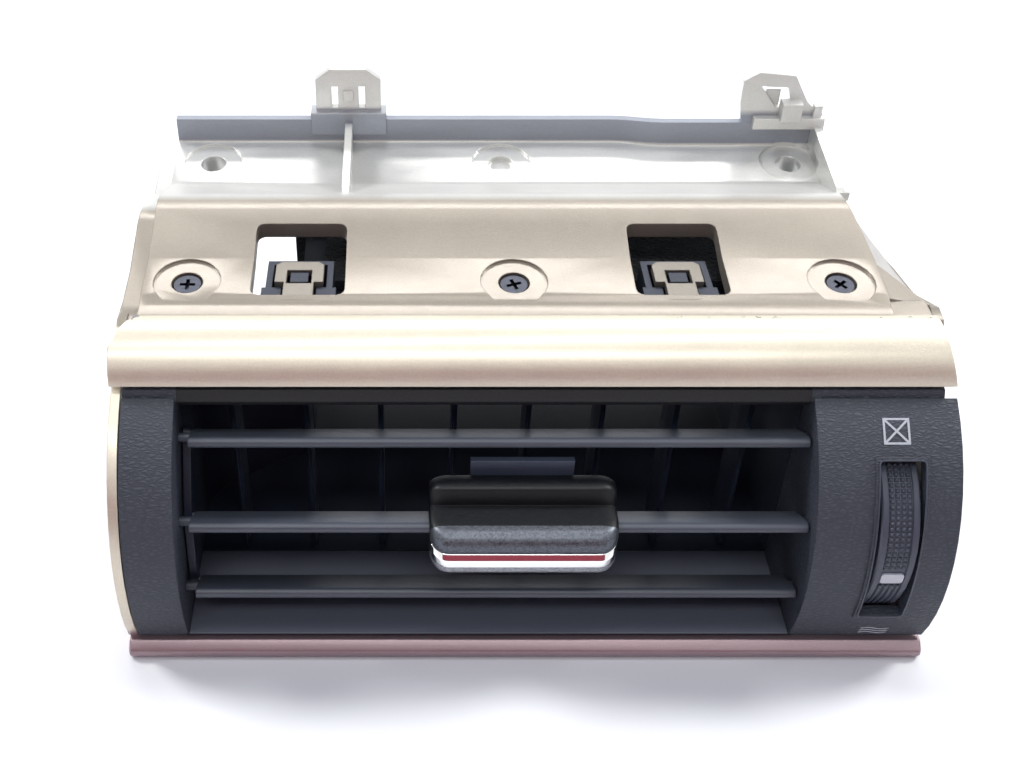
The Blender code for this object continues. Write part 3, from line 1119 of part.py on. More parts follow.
def make_door():
    """The shut-off door on its shaft, its two foam seals, its lever and the rod from the wheel."""
    origin = (0, DOOR_Y, DOOR_Z)
    tilt = Matrix.Rotation(-math.radians(DOOR_OPEN_ANGLE), 4, "X")
    left, right = PORT_LEFT + DUCT_WALL + DOOR_END_GAP, PORT_RIGHT - DUCT_WALL - DOOR_END_GAP
    reach = door_reach()
    half = DOOR_THICKNESS / 2
    door = box("shutoff_door", (left, -reach, -half), (right, reach, half), "duct_black", origin)
    door.data.transform(tilt)
    lever_start = PORT_RIGHT + DOOR_LEVER_OFFSET
    join(door, rod("door_shaft", DOOR_SHAFT_RADIUS, PORT_LEFT - 1.4 * MM, lever_start + DOOR_LEVER_THICKNESS, "X",
                   origin=origin))
    inner = DOOR_SHAFT_RADIUS + SEAT
    for name, side in (("door_seal_front", -1), ("door_seal_rear", 1)):
        near, far = side * inner, side * (reach - DOOR_SEAL_INSET)
        strip = box(name, (left + DOOR_SEAL_INSET, min(near, far), half + SEAT),
                    (right - DOOR_SEAL_INSET, max(near, far), half + SEAT + DOOR_SEAL_THICKNESS), "foam_black", origin)
        strip.data.transform(tilt)
    pin = crank_spot()
    lever = flat_prism("door_lever", bar_outline([(0, 0), pin], DOOR_LEVER_WIDTH), lever_start,
                       lever_start + DOOR_LEVER_THICKNESS, "X", "link_grey", origin,
                       [circle((0, 0), DOOR_SHAFT_RADIUS + SEAT, ROUND_SEGMENTS)])
    rod_start = control_rod_start()
    join(lever, rod("lever_pin", CRANK_PIN_RADIUS, lever_start + 0.5 * MM, rod_start + CONTROL_ROD_THICKNESS + 0.6 * MM,
                    "X", pin, origin=origin, segments=SMALL_SEGMENTS))
    wheel = wheel_centre()
    ends = [(0, 0), (DOOR_Y - wheel[0], DOOR_Z - wheel[1])]
    holes = [circle(end, CRANK_PIN_RADIUS + RUNNING) for end in ends]
    flat_prism("control_rod", bar_outline(ends, CONTROL_ROD_WIDTH), rod_start, rod_start + CONTROL_ROD_THICKNESS, "X",
               "link_grey", (0, wheel[0] + pin[0], wheel[1] + pin[1]), holes)


def door_reach():
    """Half the door's depth, so that it just clears the port when it stands shut."""
    room = min(PORT_TOP - DUCT_WALL - DOOR_Z, DOOR_Z - PORT_BOTTOM - DUCT_WALL)
    shut = math.radians(DOOR_OPEN_ANGLE + WHEEL_TRAVEL)
    return (room - DOOR_END_GAP) / math.sin(shut)


def make_foams():
    """The foam ring round the port and the felt sheet on the duct's roof."""
    gap = SEAT
    outer = GASKET_THICKNESS + gap
    ring = [(PORT_LEFT - outer, PORT_BOTTOM - outer), (PORT_RIGHT + outer, PORT_BOTTOM - outer),
            (PORT_RIGHT + outer, PORT_TOP + outer), (PORT_LEFT - outer, PORT_TOP + outer)]
    hole = [(PORT_LEFT - gap, PORT_BOTTOM - gap), (PORT_RIGHT + gap, PORT_BOTTOM - gap),
            (PORT_RIGHT + gap, PORT_TOP + gap), (PORT_LEFT - gap, PORT_TOP + gap)]
    flat_prism("port_gasket", ring, DUCT_BACK - GASKET_LENGTH, DUCT_BACK - 0.5 * MM, "Y", "foam_black", holes=[hole])
    box("roof_felt", (PORT_LEFT + 6 * MM, DUCT_NARROW + 3 * MM, PORT_TOP + gap),
        (PORT_RIGHT - 4 * MM, DUCT_BACK - GASKET_LENGTH - 1 * MM, PORT_TOP + gap + FELT_THICKNESS), "foam_black")


def main():
    make_housing()
    make_screws()
    make_bezel()
    make_duct()
    for name, pivot in slat_pivots().items():
        make_slat(name, pivot)
    make_slat_link()
    make_knob()
    make_knob_fork()
    make_vanes()
    make_thumbwheel()
    make_door()
    make_foams()


main()
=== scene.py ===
"""Finishes, marks and small pieces for a dashboard air vent, and the plain stage it stands on.

Run it as a script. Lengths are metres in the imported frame's own axes: X along the vent, Z up.
"""
import json
import math
import random

import bmesh
import bpy
from bpy.props import FloatProperty, FloatVectorProperty, IntProperty, PointerProperty
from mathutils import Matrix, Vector


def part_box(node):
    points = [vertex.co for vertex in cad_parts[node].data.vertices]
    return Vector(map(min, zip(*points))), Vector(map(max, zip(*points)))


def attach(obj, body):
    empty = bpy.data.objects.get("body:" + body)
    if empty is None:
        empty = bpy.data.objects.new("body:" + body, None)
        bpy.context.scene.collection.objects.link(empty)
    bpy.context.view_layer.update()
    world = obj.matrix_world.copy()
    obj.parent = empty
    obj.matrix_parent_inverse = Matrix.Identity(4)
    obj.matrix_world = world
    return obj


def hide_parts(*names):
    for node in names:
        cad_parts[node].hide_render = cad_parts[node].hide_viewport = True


bl_info = {
    "name": "Dashboard air vent finishes",
    "version": (1, 0, 0),
    "blender": (4, 5, 0),
    "location": "View3D > Sidebar > Vent",
    "description": "Dresses the packed vent with its finishes, marks and small pieces and sets its stage",
    "category": "Material",
}

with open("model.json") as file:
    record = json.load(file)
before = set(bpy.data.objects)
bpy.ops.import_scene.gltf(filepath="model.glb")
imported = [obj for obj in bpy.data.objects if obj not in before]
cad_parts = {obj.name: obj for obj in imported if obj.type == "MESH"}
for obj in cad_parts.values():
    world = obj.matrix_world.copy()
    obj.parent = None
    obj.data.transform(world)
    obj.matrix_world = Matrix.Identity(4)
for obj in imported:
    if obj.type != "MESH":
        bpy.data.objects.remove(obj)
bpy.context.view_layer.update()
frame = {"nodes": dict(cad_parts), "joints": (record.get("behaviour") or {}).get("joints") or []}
MM = 0.001
PIVOTS = {joint["child"]: Vector(joint["pos_m"]) for joint in frame["joints"]}

# The register's face is an arc about an axis along X
FACE_AXIS = Vector((0, -13.5 * MM, 22.7 * MM))
FACE_RADIUS = 48.5 * MM

# The wheel turns about its joint's axis, and its band lies a little under its rims
WHEEL_CENTRE = PIVOTS["wheel"]
WHEEL_RADIUS = (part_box("thumbwheel")[1].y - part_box("thumbwheel")[0].y) / 2
BAND_FLOOR = WHEEL_RADIUS - 0.47 * MM

# The band is smooth this far from the white block, and ribbed over this turn below it
BLOCK_GAP, RIBS_TURN = 0.8 * MM, math.radians(26)

# A knurl's foot and blunt top lie in from its pitch by these shares
KNURL_FOOT, KNURL_TOP = 0.1, 0.36

# The knob slides along the middle slat, and its outline is given about that slat's pivot
KNOB_LOW, KNOB_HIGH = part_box("knob_body")
KNOB_CENTRE = Vector(((KNOB_LOW.x + KNOB_HIGH.x) / 2, *PIVOTS["middle_slat"].yz))
KNOB_HALF = (KNOB_HIGH.x - KNOB_LOW.x) / 2

# Metallic paint covers the knob in front of the first place, and paler paint what is under the second
KNOB_PAINTED, KNOB_LIP = KNOB_CENTRE.y - 6.6 * MM, KNOB_CENTRE.z - 4.2 * MM

# The knob's ends draw in towards this place in its side outline, by these shares in Y and Z
KNOB_WAIST_Y, KNOB_WAIST_Z = 4 * MM, 1.2 * MM
KNOB_DRAWN_Y, KNOB_DRAWN_Z = 0.36, 0.28

# Where the roll ends behind, where the bare shelf starts, and how high the lower trim reaches
ROLL_BACK = -20.6 * MM
SHELF_START = 21 * MM
LOWER_TRIM_TOP = 7 * MM

# The rear rim stands behind the first place, between these two heights
RIM_FRONT, RIM_FOOT, RIM_TOP = 55.2 * MM, 81.2 * MM, 90 * MM

# The paint has chipped round this corner, and along the roll's rear edge at this Y, where the chips
# start at the first place in X and have their full depth from the second
CHIPPED_CORNER = (-96 * MM, -21 * MM, 77 * MM)
CHIPPED_EDGE, CHIPS_START, CHIPS_FULL = -21.9 * MM, 6 * MM, 24 * MM

# The grained end caps reach in to these places along X. Between them the ledge is under this height,
# and the top bar above it. The top bar is painted near black as the shade under the roll, and the ledge
# a paler grey as painted light on its upward face
LEFT_CAP_END, RIGHT_CAP_START = -84.5 * MM, 66 * MM
TOP_BAR_SHADE_FOOT = 40 * MM

# The thumbwheel's slot: its middle and half width in X, and its ends up the face's arc in radians
SLOT_MIDDLE, SLOT_HALF = 85.8 * MM, 5.3 * MM
SLOT_LOW, SLOT_HIGH = math.radians(-6.5), math.radians(43.5)

# The middles of the two marks: across in X, and up the face's arc from straight ahead
CLOSED_MARK = (84.8 * MM, math.radians(52.0) * FACE_RADIUS)
OPEN_MARK = (86.8 * MM, math.radians(-16.4) * FACE_RADIUS)

# The latches stand in the windows, this far either side of a middle line in X. Each has a half width
# in X, a top in Z, and a middle and a half length in Y
WINDOW_MIDDLE, WINDOW_SPREAD = -9.5 * MM, 47 * MM
LATCH_HALF, LATCH_TOP = 8.2 * MM, 81.0 * MM
LATCH_MIDDLE, LATCH_REACH = -3.3 * MM, 10.8 * MM

# CAD facets that meet at less than the first angle are one curve, and on new pieces the second
FACET_LIMIT, CREASE_LIMIT = math.radians(34), math.radians(40)

# Corners of CAD facets closer than the first size are one corner, and those within the second are welded
SAME_SPOT, WELDED = 0.01 * MM, 0.005 * MM

# The floor shows its own shade out to the first distance, and plain white from the second
FLOOR_NEAR, FLOOR_FAR = 0.35, 0.9

# Each lamp's place, the place it faces, its two sides, and the value that holds its power
LAMPS = {
    "window_light": ((0.1, 1.5, 1.58), (0, 0, 0.08), (2.4, 0.3), "window"),
    "left_light": ((-1.1, 0.5, 1.2), (0, 0, 0.05), (0.35, 0.35), "side"),
    "right_light": ((1.1, 0.5, 1.2), (0, 0, 0.05), (0.35, 0.35), "side"),
    "key_light": ((0.05, -0.1, 1.50), (0, 0, 0.05), (1.1, 0.2), "key"),
    "front_light": ((-0.05, -0.75, 1.15), (0, 0, 0.05), (1.0, 0.22), "front"),
}

# The card that the knob's chrome mirrors: its place, the place it faces and its two sides
CARD_SPOT, CARD_TARGET, CARD_SIZE = (0.0, -0.85, 0.25), (0, 0, 0.25), (1.1, 0.44)

# The photograph's view, and how many of its pixels the frame is moved right of the lens's axis
CAMERA_SPOT = Vector((-30.3, -265.8, 262)) * MM
CAMERA_DOWN = math.radians(40.0)
SENSOR_WIDTH = 36.0
PHOTO_WIDTH, PHOTO_MOVED = 1024, 107


def linear(code):
    """An sRGB hex colour as linear RGBA."""
    channels = [int(code[i:i + 2], 16) / 255 for i in (1, 3, 5)]
    return (*[c / 12.92 if c <= 0.04045 else ((c + 0.055) / 1.055) ** 2.4 for c in channels], 1.0)


def toned(shade, factor):
    """A linear colour made darker or paler by a factor."""
    return (*[min(1.0, c * factor) for c in shade[:3]], 1.0)


def colour(name, description, code):
    return FloatVectorProperty(name=name, description=description, subtype="COLOR", size=4, min=0, max=1,
                               default=linear(code))


def length(name, description, millimetres):
    return FloatProperty(name=name, description=description, subtype="DISTANCE", unit="LENGTH", min=0,
                         default=millimetres * MM)


def watts(name, description, power):
    return FloatProperty(name=name, description=description, unit="POWER", min=0, default=power)


def count(name, description, number, least):
    return IntProperty(name=name, description=description, default=number, min=least)


class VentFinish(bpy.types.PropertyGroup):
    """Colours and grain of the vent's finishes."""

    roll: colour("Roll", "Champagne paint on the roll", "#D6CDBB")
    # The panel behind the roll is given a darker colour than the roll
    panel: colour("Panel", "Thinner paint on the panel behind the roll", "#90887D")
    shelf: colour("Rear shelf", "Bare grey moulding at the back", "#D4D4D0")
    # Painted shade: the rim is the shelf's grey moulding, darkened and tinted blue for the shade on its front
    # face
    rim: colour("Rear rim", "Duller grey of the upright rim behind the shelf", "#8F949E")
    # Painted light: the lower trim is the housing's champagne paint, darkened as shade on its front face and
    # tinted pink as a painted reflection of the red card
    trim: colour("Lower trim", "Paint on the lower trim", "#9C878C")
    # Painted shade: this dark grey stands in for the shade inside the windows, over the latches' champagne
    # colour
    latch_shade: colour("Latches", "Bare dark grey moulding of the latches", "#79736A")
    primer: colour("Primer", "What shows where the paint has chipped", "#77737A")
    # The blue in this black stands in for the cool room light on the caps; the moulding itself is black
    bezel: colour("End caps", "Leather-grained black", "#3B404C")
    # Painted light: this paler grey stands in for light on the ledge's upward face; the moulding is the caps'
    # black
    ledge: colour("Floor ledge", "Plain black of the register between its caps", "#636874")
    # The navy in this black stands in for the cool haze of light deep in the register; the moulding itself is
    # black
    duct: colour("Duct", "Plain moulded black", "#161D2C")
    slat: colour("Slats", "Satin charcoal", "#40454F")
    knob: colour("Knob", "Plain black of the knob's back", "#0B0E13")
    knob_roll: colour("Knob roll", "Dark metallic paint on the knob's roll", "#5C6068")
    lip: colour("Knob lip", "Paler paint on the lip under the bright strip", "#94969C")
    chrome: colour("Bright strip", "Chrome plating on the knob's strip", "#F4F4F5")
    link: colour("Links", "Blue-grey acetal", "#48505F")
    mark: colour("Marks", "White pad-printed marks", "#CDD2DA")
    screw: colour("Screws", "Dark zinc plating", "#3E4048")
    # Painted shade: this darker felt colour stands in for the shade between the fibres
    felt_gap_shade: colour("Felt depth", "Between the fibres of the felt", "#060708")
    felt: colour("Felt", "Fibres of the felt", "#34363C")
    grain_pitch: length("Grain pitch", "Distance between two creases of the leather grain", 0.85)
    flake_pitch: length("Flake pitch", "Distance between two metallic flakes in the paint", 0.35)


class VentDetail(bpy.types.PropertyGroup):
    """Sizes of the marks, the knurling, the knob and the felt."""

    knurl_rows: count("Knurl rows", "Rows in a full turn of the wheel", 124, 20)
    knurl_columns: count("Knurl columns", "Pyramids across the wheel", 4, 1)
    knurl_band: length("Knurl band", "Width of the knurled band", 5.6)
    knurl_height: length("Knurl height", "Height of one pyramid", 0.42)
    block_width: length("Wheel block width", "White block on the wheel, across", 5.4)
    block_height: length("Wheel block height", "White block on the wheel, along the rim", 3.0)
    symbol_size: length("Symbol size", "Side of the closed mark", 6.3)
    symbol_line: length("Symbol line", "Width of a printed line", 0.5)
    bead_width: length("Slot bead", "Width of the bead round the thumbwheel's slot", 0.34)
    knob_corner: length("Knob corner", "How far the knob's ends round off in plan", 4.6)
    fibre_count: count("Fibre count", "Loose fibres on the felt", 1500, 0)
    fibre_length: length("Fibre length", "Length of a loose felt fibre", 1.8)


class VentStage(bpy.types.PropertyGroup):
    """Floor, lights and background."""

    floor: colour("Floor", "Pale table top", "#F5F6F8")
    floor_size: length("Floor size", "Side of the floor", 8000)
    card: colour("Warm card", "Dark red card in front, which the chrome mirrors", "#7E2F3A")
    window: watts("Window light", "Power of the light behind", 24.0)
    side: watts("Side lights", "Power of each side light", 15.5)
    key: watts("Key light", "Power of the light overhead", 4.4)
    front: watts("Front light", "Power of the light in front", 4.2)
    room: colour("Room light", "Cool light that the room gives", "#AFC8FA")
    ambient: FloatProperty(name="Ambient", description="Brightness of the room's light", subtype="FACTOR",
                           default=0.17, min=0, max=1)
    lens: FloatProperty(name="Lens", description="Focal length", subtype="DISTANCE_CAMERA", default=45.0)


def add(tree, kind, inputs=(), output=0, **settings):
    """Adds a shader node. Settings are its own values; an input takes a value or another node's output.

    A colour's Mix has its factor at input 0, its colours at 6 and 7, and its result at output 2. A Map
    Range takes input 0 from 1 and 2 to 3 and 4.
    """
    node = tree.nodes.new("ShaderNode" + kind)
    for key, value in settings.items():
        setattr(node, key, value)
    for key, value in dict(inputs).items():
        if isinstance(value, bpy.types.NodeSocket):
            tree.links.new(value, node.inputs[key])
        else:
            node.inputs[key].default_value = value
    return node.outputs[output] if node.outputs else node


def start_material(name):
    """An empty material, its node tree, and the places on the piece in metres."""
    made = bpy.data.materials.new(name)
    made.use_nodes = True
    tree = made.node_tree
    tree.nodes.clear()
    return made, tree, add(tree, "TexCoord", output="Object")


def close_material(tree, values):
    """Joins the surface's values to the material's output."""
    add(tree, "OutputMaterial", {"Surface": add(tree, "BsdfPrincipled", values)})


def in_view(tree):
    """1 for rays from the camera and those that gloss or glass passes on, which show the background."""
    seen, gloss, through = [add(tree, "LightPath", output=f"Is {kind} Ray")
                            for kind in ("Camera", "Glossy", "Transmission")]
    seen = add(tree, "Math", {0: seen, 1: gloss}, operation="MAXIMUM")
    return add(tree, "Math", {0: seen, 1: through}, operation="MAXIMUM")


def flakes(tree, place, pitch):
    """One random value for each metallic flake."""
    cells = add(tree, "TexVoronoi", {"Vector": place, "Scale": 1 / pitch}, "Color")
    return add(tree, "SeparateXYZ", {0: cells})


def dimmed(tree, paint, shade):
    """A colour multiplied by a grey value."""
    grey = add(tree, "CombineXYZ", {0: shade, 1: shade, 2: shade})
    return add(tree, "Mix", {0: 1.0, 6: paint, 7: grey}, 2, data_type="RGBA", blend_type="MULTIPLY")


def chipped(tree, place, x, y, z):
    """1 where the paint has gone: at the roll's left rear corner and along its rear edge on the right."""
    corner = add(tree, "VectorMath", {0: place, 1: CHIPPED_CORNER}, "Value", operation="DISTANCE")
    corner = add(tree, "MapRange", {0: corner, 1: 1.5 * MM, 2: 8 * MM, 3: 1.0, 4: 0.0})
    edge = add(tree, "Math", {0: y, 1: -CHIPPED_EDGE}, operation="ADD")
    edge = add(tree, "Math", {0: edge}, operation="ABSOLUTE")
    edge = add(tree, "MapRange", {0: edge, 1: 0.4 * MM, 2: 1.7 * MM, 3: 0.74, 4: 0.0})
    along = add(tree, "MapRange", {0: x, 1: CHIPS_START, 2: CHIPS_FULL})
    high = add(tree, "MapRange", {0: z, 1: 72 * MM, 2: 75 * MM})
    edge = add(tree, "Math", {0: edge, 1: along}, operation="MULTIPLY")
    edge = add(tree, "Math", {0: edge, 1: high}, operation="MULTIPLY")
    reach = add(tree, "Math", {0: corner, 1: edge}, operation="MAXIMUM")
    ragged = add(tree, "TexNoise", {"Vector": place, "Scale": 1 / (1.8 * MM), "Detail": 5.0,
                                    "Roughness": 0.65})
    reach = add(tree, "Math", {0: reach, 1: ragged}, operation="MULTIPLY")
    return add(tree, "MapRange", {0: reach, 1: 0.43, 2: 0.47}, interpolation_type="SMOOTHSTEP")


def shaded_latches(tree, x, y, z):
    """1 on the two latches inside the windows, which are painted dark grey as the shade of the window
    recesses.
    """
    side = add(tree, "Math", {0: x, 1: -WINDOW_MIDDLE}, operation="ADD")
    side = add(tree, "Math", {0: side}, operation="ABSOLUTE")
    side = add(tree, "Math", {0: side, 1: WINDOW_SPREAD, 2: LATCH_HALF}, operation="COMPARE")
    deep = add(tree, "Math", {0: y, 1: LATCH_MIDDLE, 2: LATCH_REACH}, operation="COMPARE")
    under = add(tree, "Math", {0: z, 1: LATCH_TOP}, operation="LESS_THAN")
    inside = add(tree, "Math", {0: side, 1: deep}, operation="MULTIPLY")
    return add(tree, "Math", {0: inside, 1: under}, operation="MULTIPLY")


def shaded_rim(tree, y, z):
    """1 on the upright rear rim, whose front face is painted darker as shade; the clips above it stay as pale
    as the shelf.
    """
    back = add(tree, "Math", {0: y, 1: RIM_FRONT}, operation="GREATER_THAN")
    raised = add(tree, "MapRange", {0: z, 1: RIM_FOOT, 2: RIM_FOOT + 0.5 * MM})
    back = add(tree, "Math", {0: back, 1: raised}, operation="MULTIPLY")
    return add(tree, "MapRange", {0: z, 1: RIM_TOP, 2: RIM_TOP + 2 * MM, 3: back, 4: 0.0})


def champagne_paint(kit):
    """Metallic paint sprayed on moulded ABS: satin with fine flakes, paler on the roll and darker behind it.

    The flakes are drawn at about 0.35 mm, coarser than real ones, so that they show at all.
    """
    made, tree, place = start_material("champagne_paint_on_abs")
    x, y, z = [add(tree, "SeparateXYZ", {0: place}, axis) for axis in "XYZ"]
    cloud = add(tree, "TexNoise", {"Vector": place, "Scale": 1 / (26 * MM), "Detail": 4.0})
    flake = flakes(tree, place, kit.flake_pitch)
    scuff = add(tree, "TexNoise", {"Vector": place, "Scale": 1 / (5 * MM), "Detail": 6.0, "Roughness": 0.7})
    seam, fade = 0.3 * MM, 2 * MM
    behind = add(tree, "MapRange", {0: y, 1: ROLL_BACK - seam, 2: ROLL_BACK + seam})
    shelf = add(tree, "MapRange", {0: y, 1: SHELF_START - fade, 2: SHELF_START + fade})
    low = add(tree, "MapRange", {0: z, 1: LOWER_TRIM_TOP, 2: LOWER_TRIM_TOP + fade, 3: 1.0, 4: 0.0})
    paint = add(tree, "Mix", {0: behind, 6: kit.roll, 7: kit.panel}, 2, data_type="RGBA")
    paint = add(tree, "Mix", {0: shelf, 6: paint, 7: kit.shelf}, 2, data_type="RGBA")
    # Painted shade on the upright rear rim
    paint = add(tree, "Mix", {0: shaded_rim(tree, y, z), 6: paint, 7: kit.rim}, 2, data_type="RGBA")
    # Painted shade and a painted pink reflection on the lower trim
    paint = add(tree, "Mix", {0: low, 6: paint, 7: kit.trim}, 2, data_type="RGBA")
    # Painted shade on the latches inside the windows
    paint = add(tree, "Mix", {0: shaded_latches(tree, x, y, z), 6: paint, 7: kit.latch_shade}, 2, data_type="RGBA")
    shade = add(tree, "Math", {0: cloud, 1: 0.16, 2: 0.90}, operation="MULTIPLY_ADD")
    shade = add(tree, "Math", {0: flake, 1: 0.07, 2: shade}, operation="MULTIPLY_ADD")
    paint = dimmed(tree, paint, shade)
    gone = chipped(tree, place, x, y, z)
    paint = add(tree, "Mix", {0: gone, 6: paint, 7: kit.primer}, 2, data_type="RGBA")
    kept = add(tree, "Math", {0: 1.0, 1: gone}, operation="SUBTRACT")
    metal = add(tree, "MapRange", {0: behind, 3: 0.48, 4: 0.45})
    metal = add(tree, "Math", {0: metal, 1: kept}, operation="MULTIPLY")
    rough = add(tree, "MapRange", {0: scuff, 1: 0.3, 2: 0.7, 3: 0.29, 4: 0.35})
    rough = add(tree, "Math", {0: gone, 1: 0.3, 2: rough}, operation="MULTIPLY_ADD")
    height = add(tree, "Math", {0: flake, 1: 0.25, 2: kept}, operation="MULTIPLY_ADD")
    edges = add(tree, "Bevel", {"Radius": 0.45 * MM}, samples=4)
    normal = add(tree, "Bump", {"Height": height, "Distance": 0.05 * MM, "Strength": 0.8, "Normal": edges})
    close_material(tree, {"Base Color": paint, "Metallic": metal, "Roughness": rough, "Normal": normal,
                          "Coat Weight": 0.25, "Coat Roughness": 0.18})
    return made


def leather_grained(kit):
    """Polypropylene moulded against a leather-etched tool: dull creased cells, with a low sheen on top.

    Only the end caps have the grain, and its creases are painted darker as shade. Between them the ledge is
    plain and painted a paler grey as light on its upward face, and the top bar is painted near black as the
    shade under the roll.
    """
    made, tree, place = start_material("leather_grained_pp")
    x, z = [add(tree, "SeparateXYZ", {0: place}, axis) for axis in "XZ"]
    drawn = add(tree, "Mapping", {"Vector": place, "Scale": (0.5, 1.0, 1.15)})
    bend = add(tree, "TexNoise", {"Vector": drawn, "Scale": 1 / (1.7 * MM), "Detail": 2.0}, "Color")
    bent = add(tree, "VectorMath", {0: bend, 1: (1.3 * MM,) * 3, 2: drawn}, operation="MULTIPLY_ADD")
    cells = add(tree, "TexVoronoi", {"Vector": bent, "Scale": 1 / kit.grain_pitch}, "Distance",
                feature="DISTANCE_TO_EDGE")
    tops = add(tree, "MapRange", {0: cells, 1: 0.0, 2: 0.42}, interpolation_type="SMOOTHSTEP")
    ripple = add(tree, "TexNoise", {"Vector": drawn, "Scale": 1 / (0.7 * MM), "Detail": 3.0,
                                    "Distortion": 0.5})
    left = add(tree, "Math", {0: x, 1: LEFT_CAP_END}, operation="LESS_THAN")
    right = add(tree, "Math", {0: x, 1: RIGHT_CAP_START}, operation="GREATER_THAN")
    capped = add(tree, "Math", {0: left, 1: right}, operation="ADD")
    height = add(tree, "Math", {0: ripple, 1: 1.2, 2: tops}, operation="MULTIPLY_ADD")
    height = add(tree, "Math", {0: height, 1: capped}, operation="MULTIPLY")
    # Painted shade: the creases between the cells take 0.7 of the caps' colour, and the cells' tops the full
    # colour
    shade = add(tree, "Mix", {0: tops, 6: toned(kit.bezel, 0.7), 7: kit.bezel}, 2, data_type="RGBA")
    # Between the caps, painted shade makes the top bar near black under the roll, and painted light makes the
    # ledge below it a paler grey
    upper = add(tree, "Math", {0: z, 1: TOP_BAR_SHADE_FOOT}, operation="GREATER_THAN")
    plain = add(tree, "Mix", {0: upper, 6: kit.ledge, 7: toned(kit.duct, 0.2)}, 2, data_type="RGBA")
    shade = add(tree, "Mix", {0: capped, 6: plain, 7: shade}, 2, data_type="RGBA")
    rough = add(tree, "MapRange", {0: tops, 3: 0.60, 4: 0.48})
    edges = add(tree, "Bevel", {"Radius": 0.45 * MM}, samples=4)
    normal = add(tree, "Bump", {"Height": height, "Distance": 0.11 * MM, "Strength": 0.85, "Normal": edges})
    close_material(tree, {"Base Color": shade, "Roughness": rough, "Normal": normal, "IOR": 1.49})
    return made


def moulded(name, base, rough, texture=0.5, depth=0.02, edge=0.3):
    """Plain injection moulding: a faint spark-eroded texture, slight flow clouds and softened edges.

    The texture's grain, its depth and the edges' radius are in millimetres.
    """
    made, tree, place = start_material(name)
    fine = add(tree, "TexNoise", {"Vector": place, "Scale": 1 / (texture * MM), "Detail": 3.0})
    cloud = add(tree, "TexNoise", {"Vector": place, "Scale": 1 / (16 * MM), "Detail": 3.0})
    shade = add(tree, "Mix", {0: cloud, 6: base, 7: toned(base, 1.5)}, 2, data_type="RGBA")
    uneven = add(tree, "MapRange", {0: fine, 1: 0.3, 2: 0.7, 3: rough - 0.05, 4: rough + 0.06})
    edges = add(tree, "Bevel", {"Radius": edge * MM}, samples=4)
    normal = add(tree, "Bump", {"Height": fine, "Distance": depth * MM, "Strength": 0.7, "Normal": edges})
    close_material(tree, {"Base Color": shade, "Roughness": uneven, "Normal": normal, "IOR": 1.5})
    return made


def metallic_knob_paint(kit):
    """Dark metallic paint on the knob's roll, with flakes that glint, on plain black; the lip is paler."""
    made, tree, place = start_material("dark_metallic_paint_on_abs")
    y, z = [add(tree, "SeparateXYZ", {0: place}, axis) for axis in "YZ"]
    flake = flakes(tree, place, kit.flake_pitch)
    front = add(tree, "Math", {0: y, 1: KNOB_PAINTED}, operation="LESS_THAN")
    lip = add(tree, "Math", {0: z, 1: KNOB_LIP}, operation="LESS_THAN")
    paint = add(tree, "Mix", {0: front, 6: kit.knob, 7: kit.knob_roll}, 2, data_type="RGBA")
    paint = add(tree, "Mix", {0: lip, 6: paint, 7: kit.lip}, 2, data_type="RGBA")
    paint = dimmed(tree, paint, add(tree, "MapRange", {0: flake, 3: 0.7, 4: 1.25}))
    metal = add(tree, "Math", {0: front, 1: lip}, operation="MAXIMUM")
    metal = add(tree, "Math", {0: metal, 1: 0.85}, operation="MULTIPLY")
    rough = add(tree, "MapRange", {0: flake, 3: 0.34, 4: 0.46})
    edges = add(tree, "Bevel", {"Radius": 0.2 * MM}, samples=4)
    normal = add(tree, "Bump", {"Height": flake, "Distance": 0.03 * MM, "Strength": 0.6, "Normal": edges})
    close_material(tree, {"Base Color": paint, "Metallic": metal, "Roughness": rough, "Normal": normal,
                          "Specular IOR Level": 0.3})
    return made


def bright_plating(kit):
    """Chrome plated on ABS: a clean mirror, faintly wavy from the moulding under it."""
    made, tree, place = start_material("chrome_plated_abs")
    wave = add(tree, "TexNoise", {"Vector": place, "Scale": 1 / (5 * MM), "Detail": 2.0})
    rough = add(tree, "MapRange", {0: wave, 3: 0.03, 4: 0.09})
    normal = add(tree, "Bump", {"Height": wave, "Distance": 0.05 * MM, "Strength": 0.5})
    close_material(tree, {"Base Color": kit.chrome, "Metallic": 1.0, "Roughness": rough, "Normal": normal})
    return made


def zinc_steel(kit):
    """Dark zinc-plated steel, rolled and headed: a dull metal with fine streaks."""
    made, tree, place = start_material("zinc_plated_steel")
    streak = add(tree, "TexNoise", {"Vector": place, "Scale": 1 / (0.6 * MM), "Detail": 4.0})
    rough = add(tree, "MapRange", {0: streak, 3: 0.22, 4: 0.5})
    edges = add(tree, "Bevel", {"Radius": 0.2 * MM}, samples=4)
    normal = add(tree, "Bump", {"Height": streak, "Distance": 0.03 * MM, "Normal": edges})
    close_material(tree, {"Base Color": kit.screw, "Metallic": 1.0, "Roughness": rough, "Normal": normal})
    return made


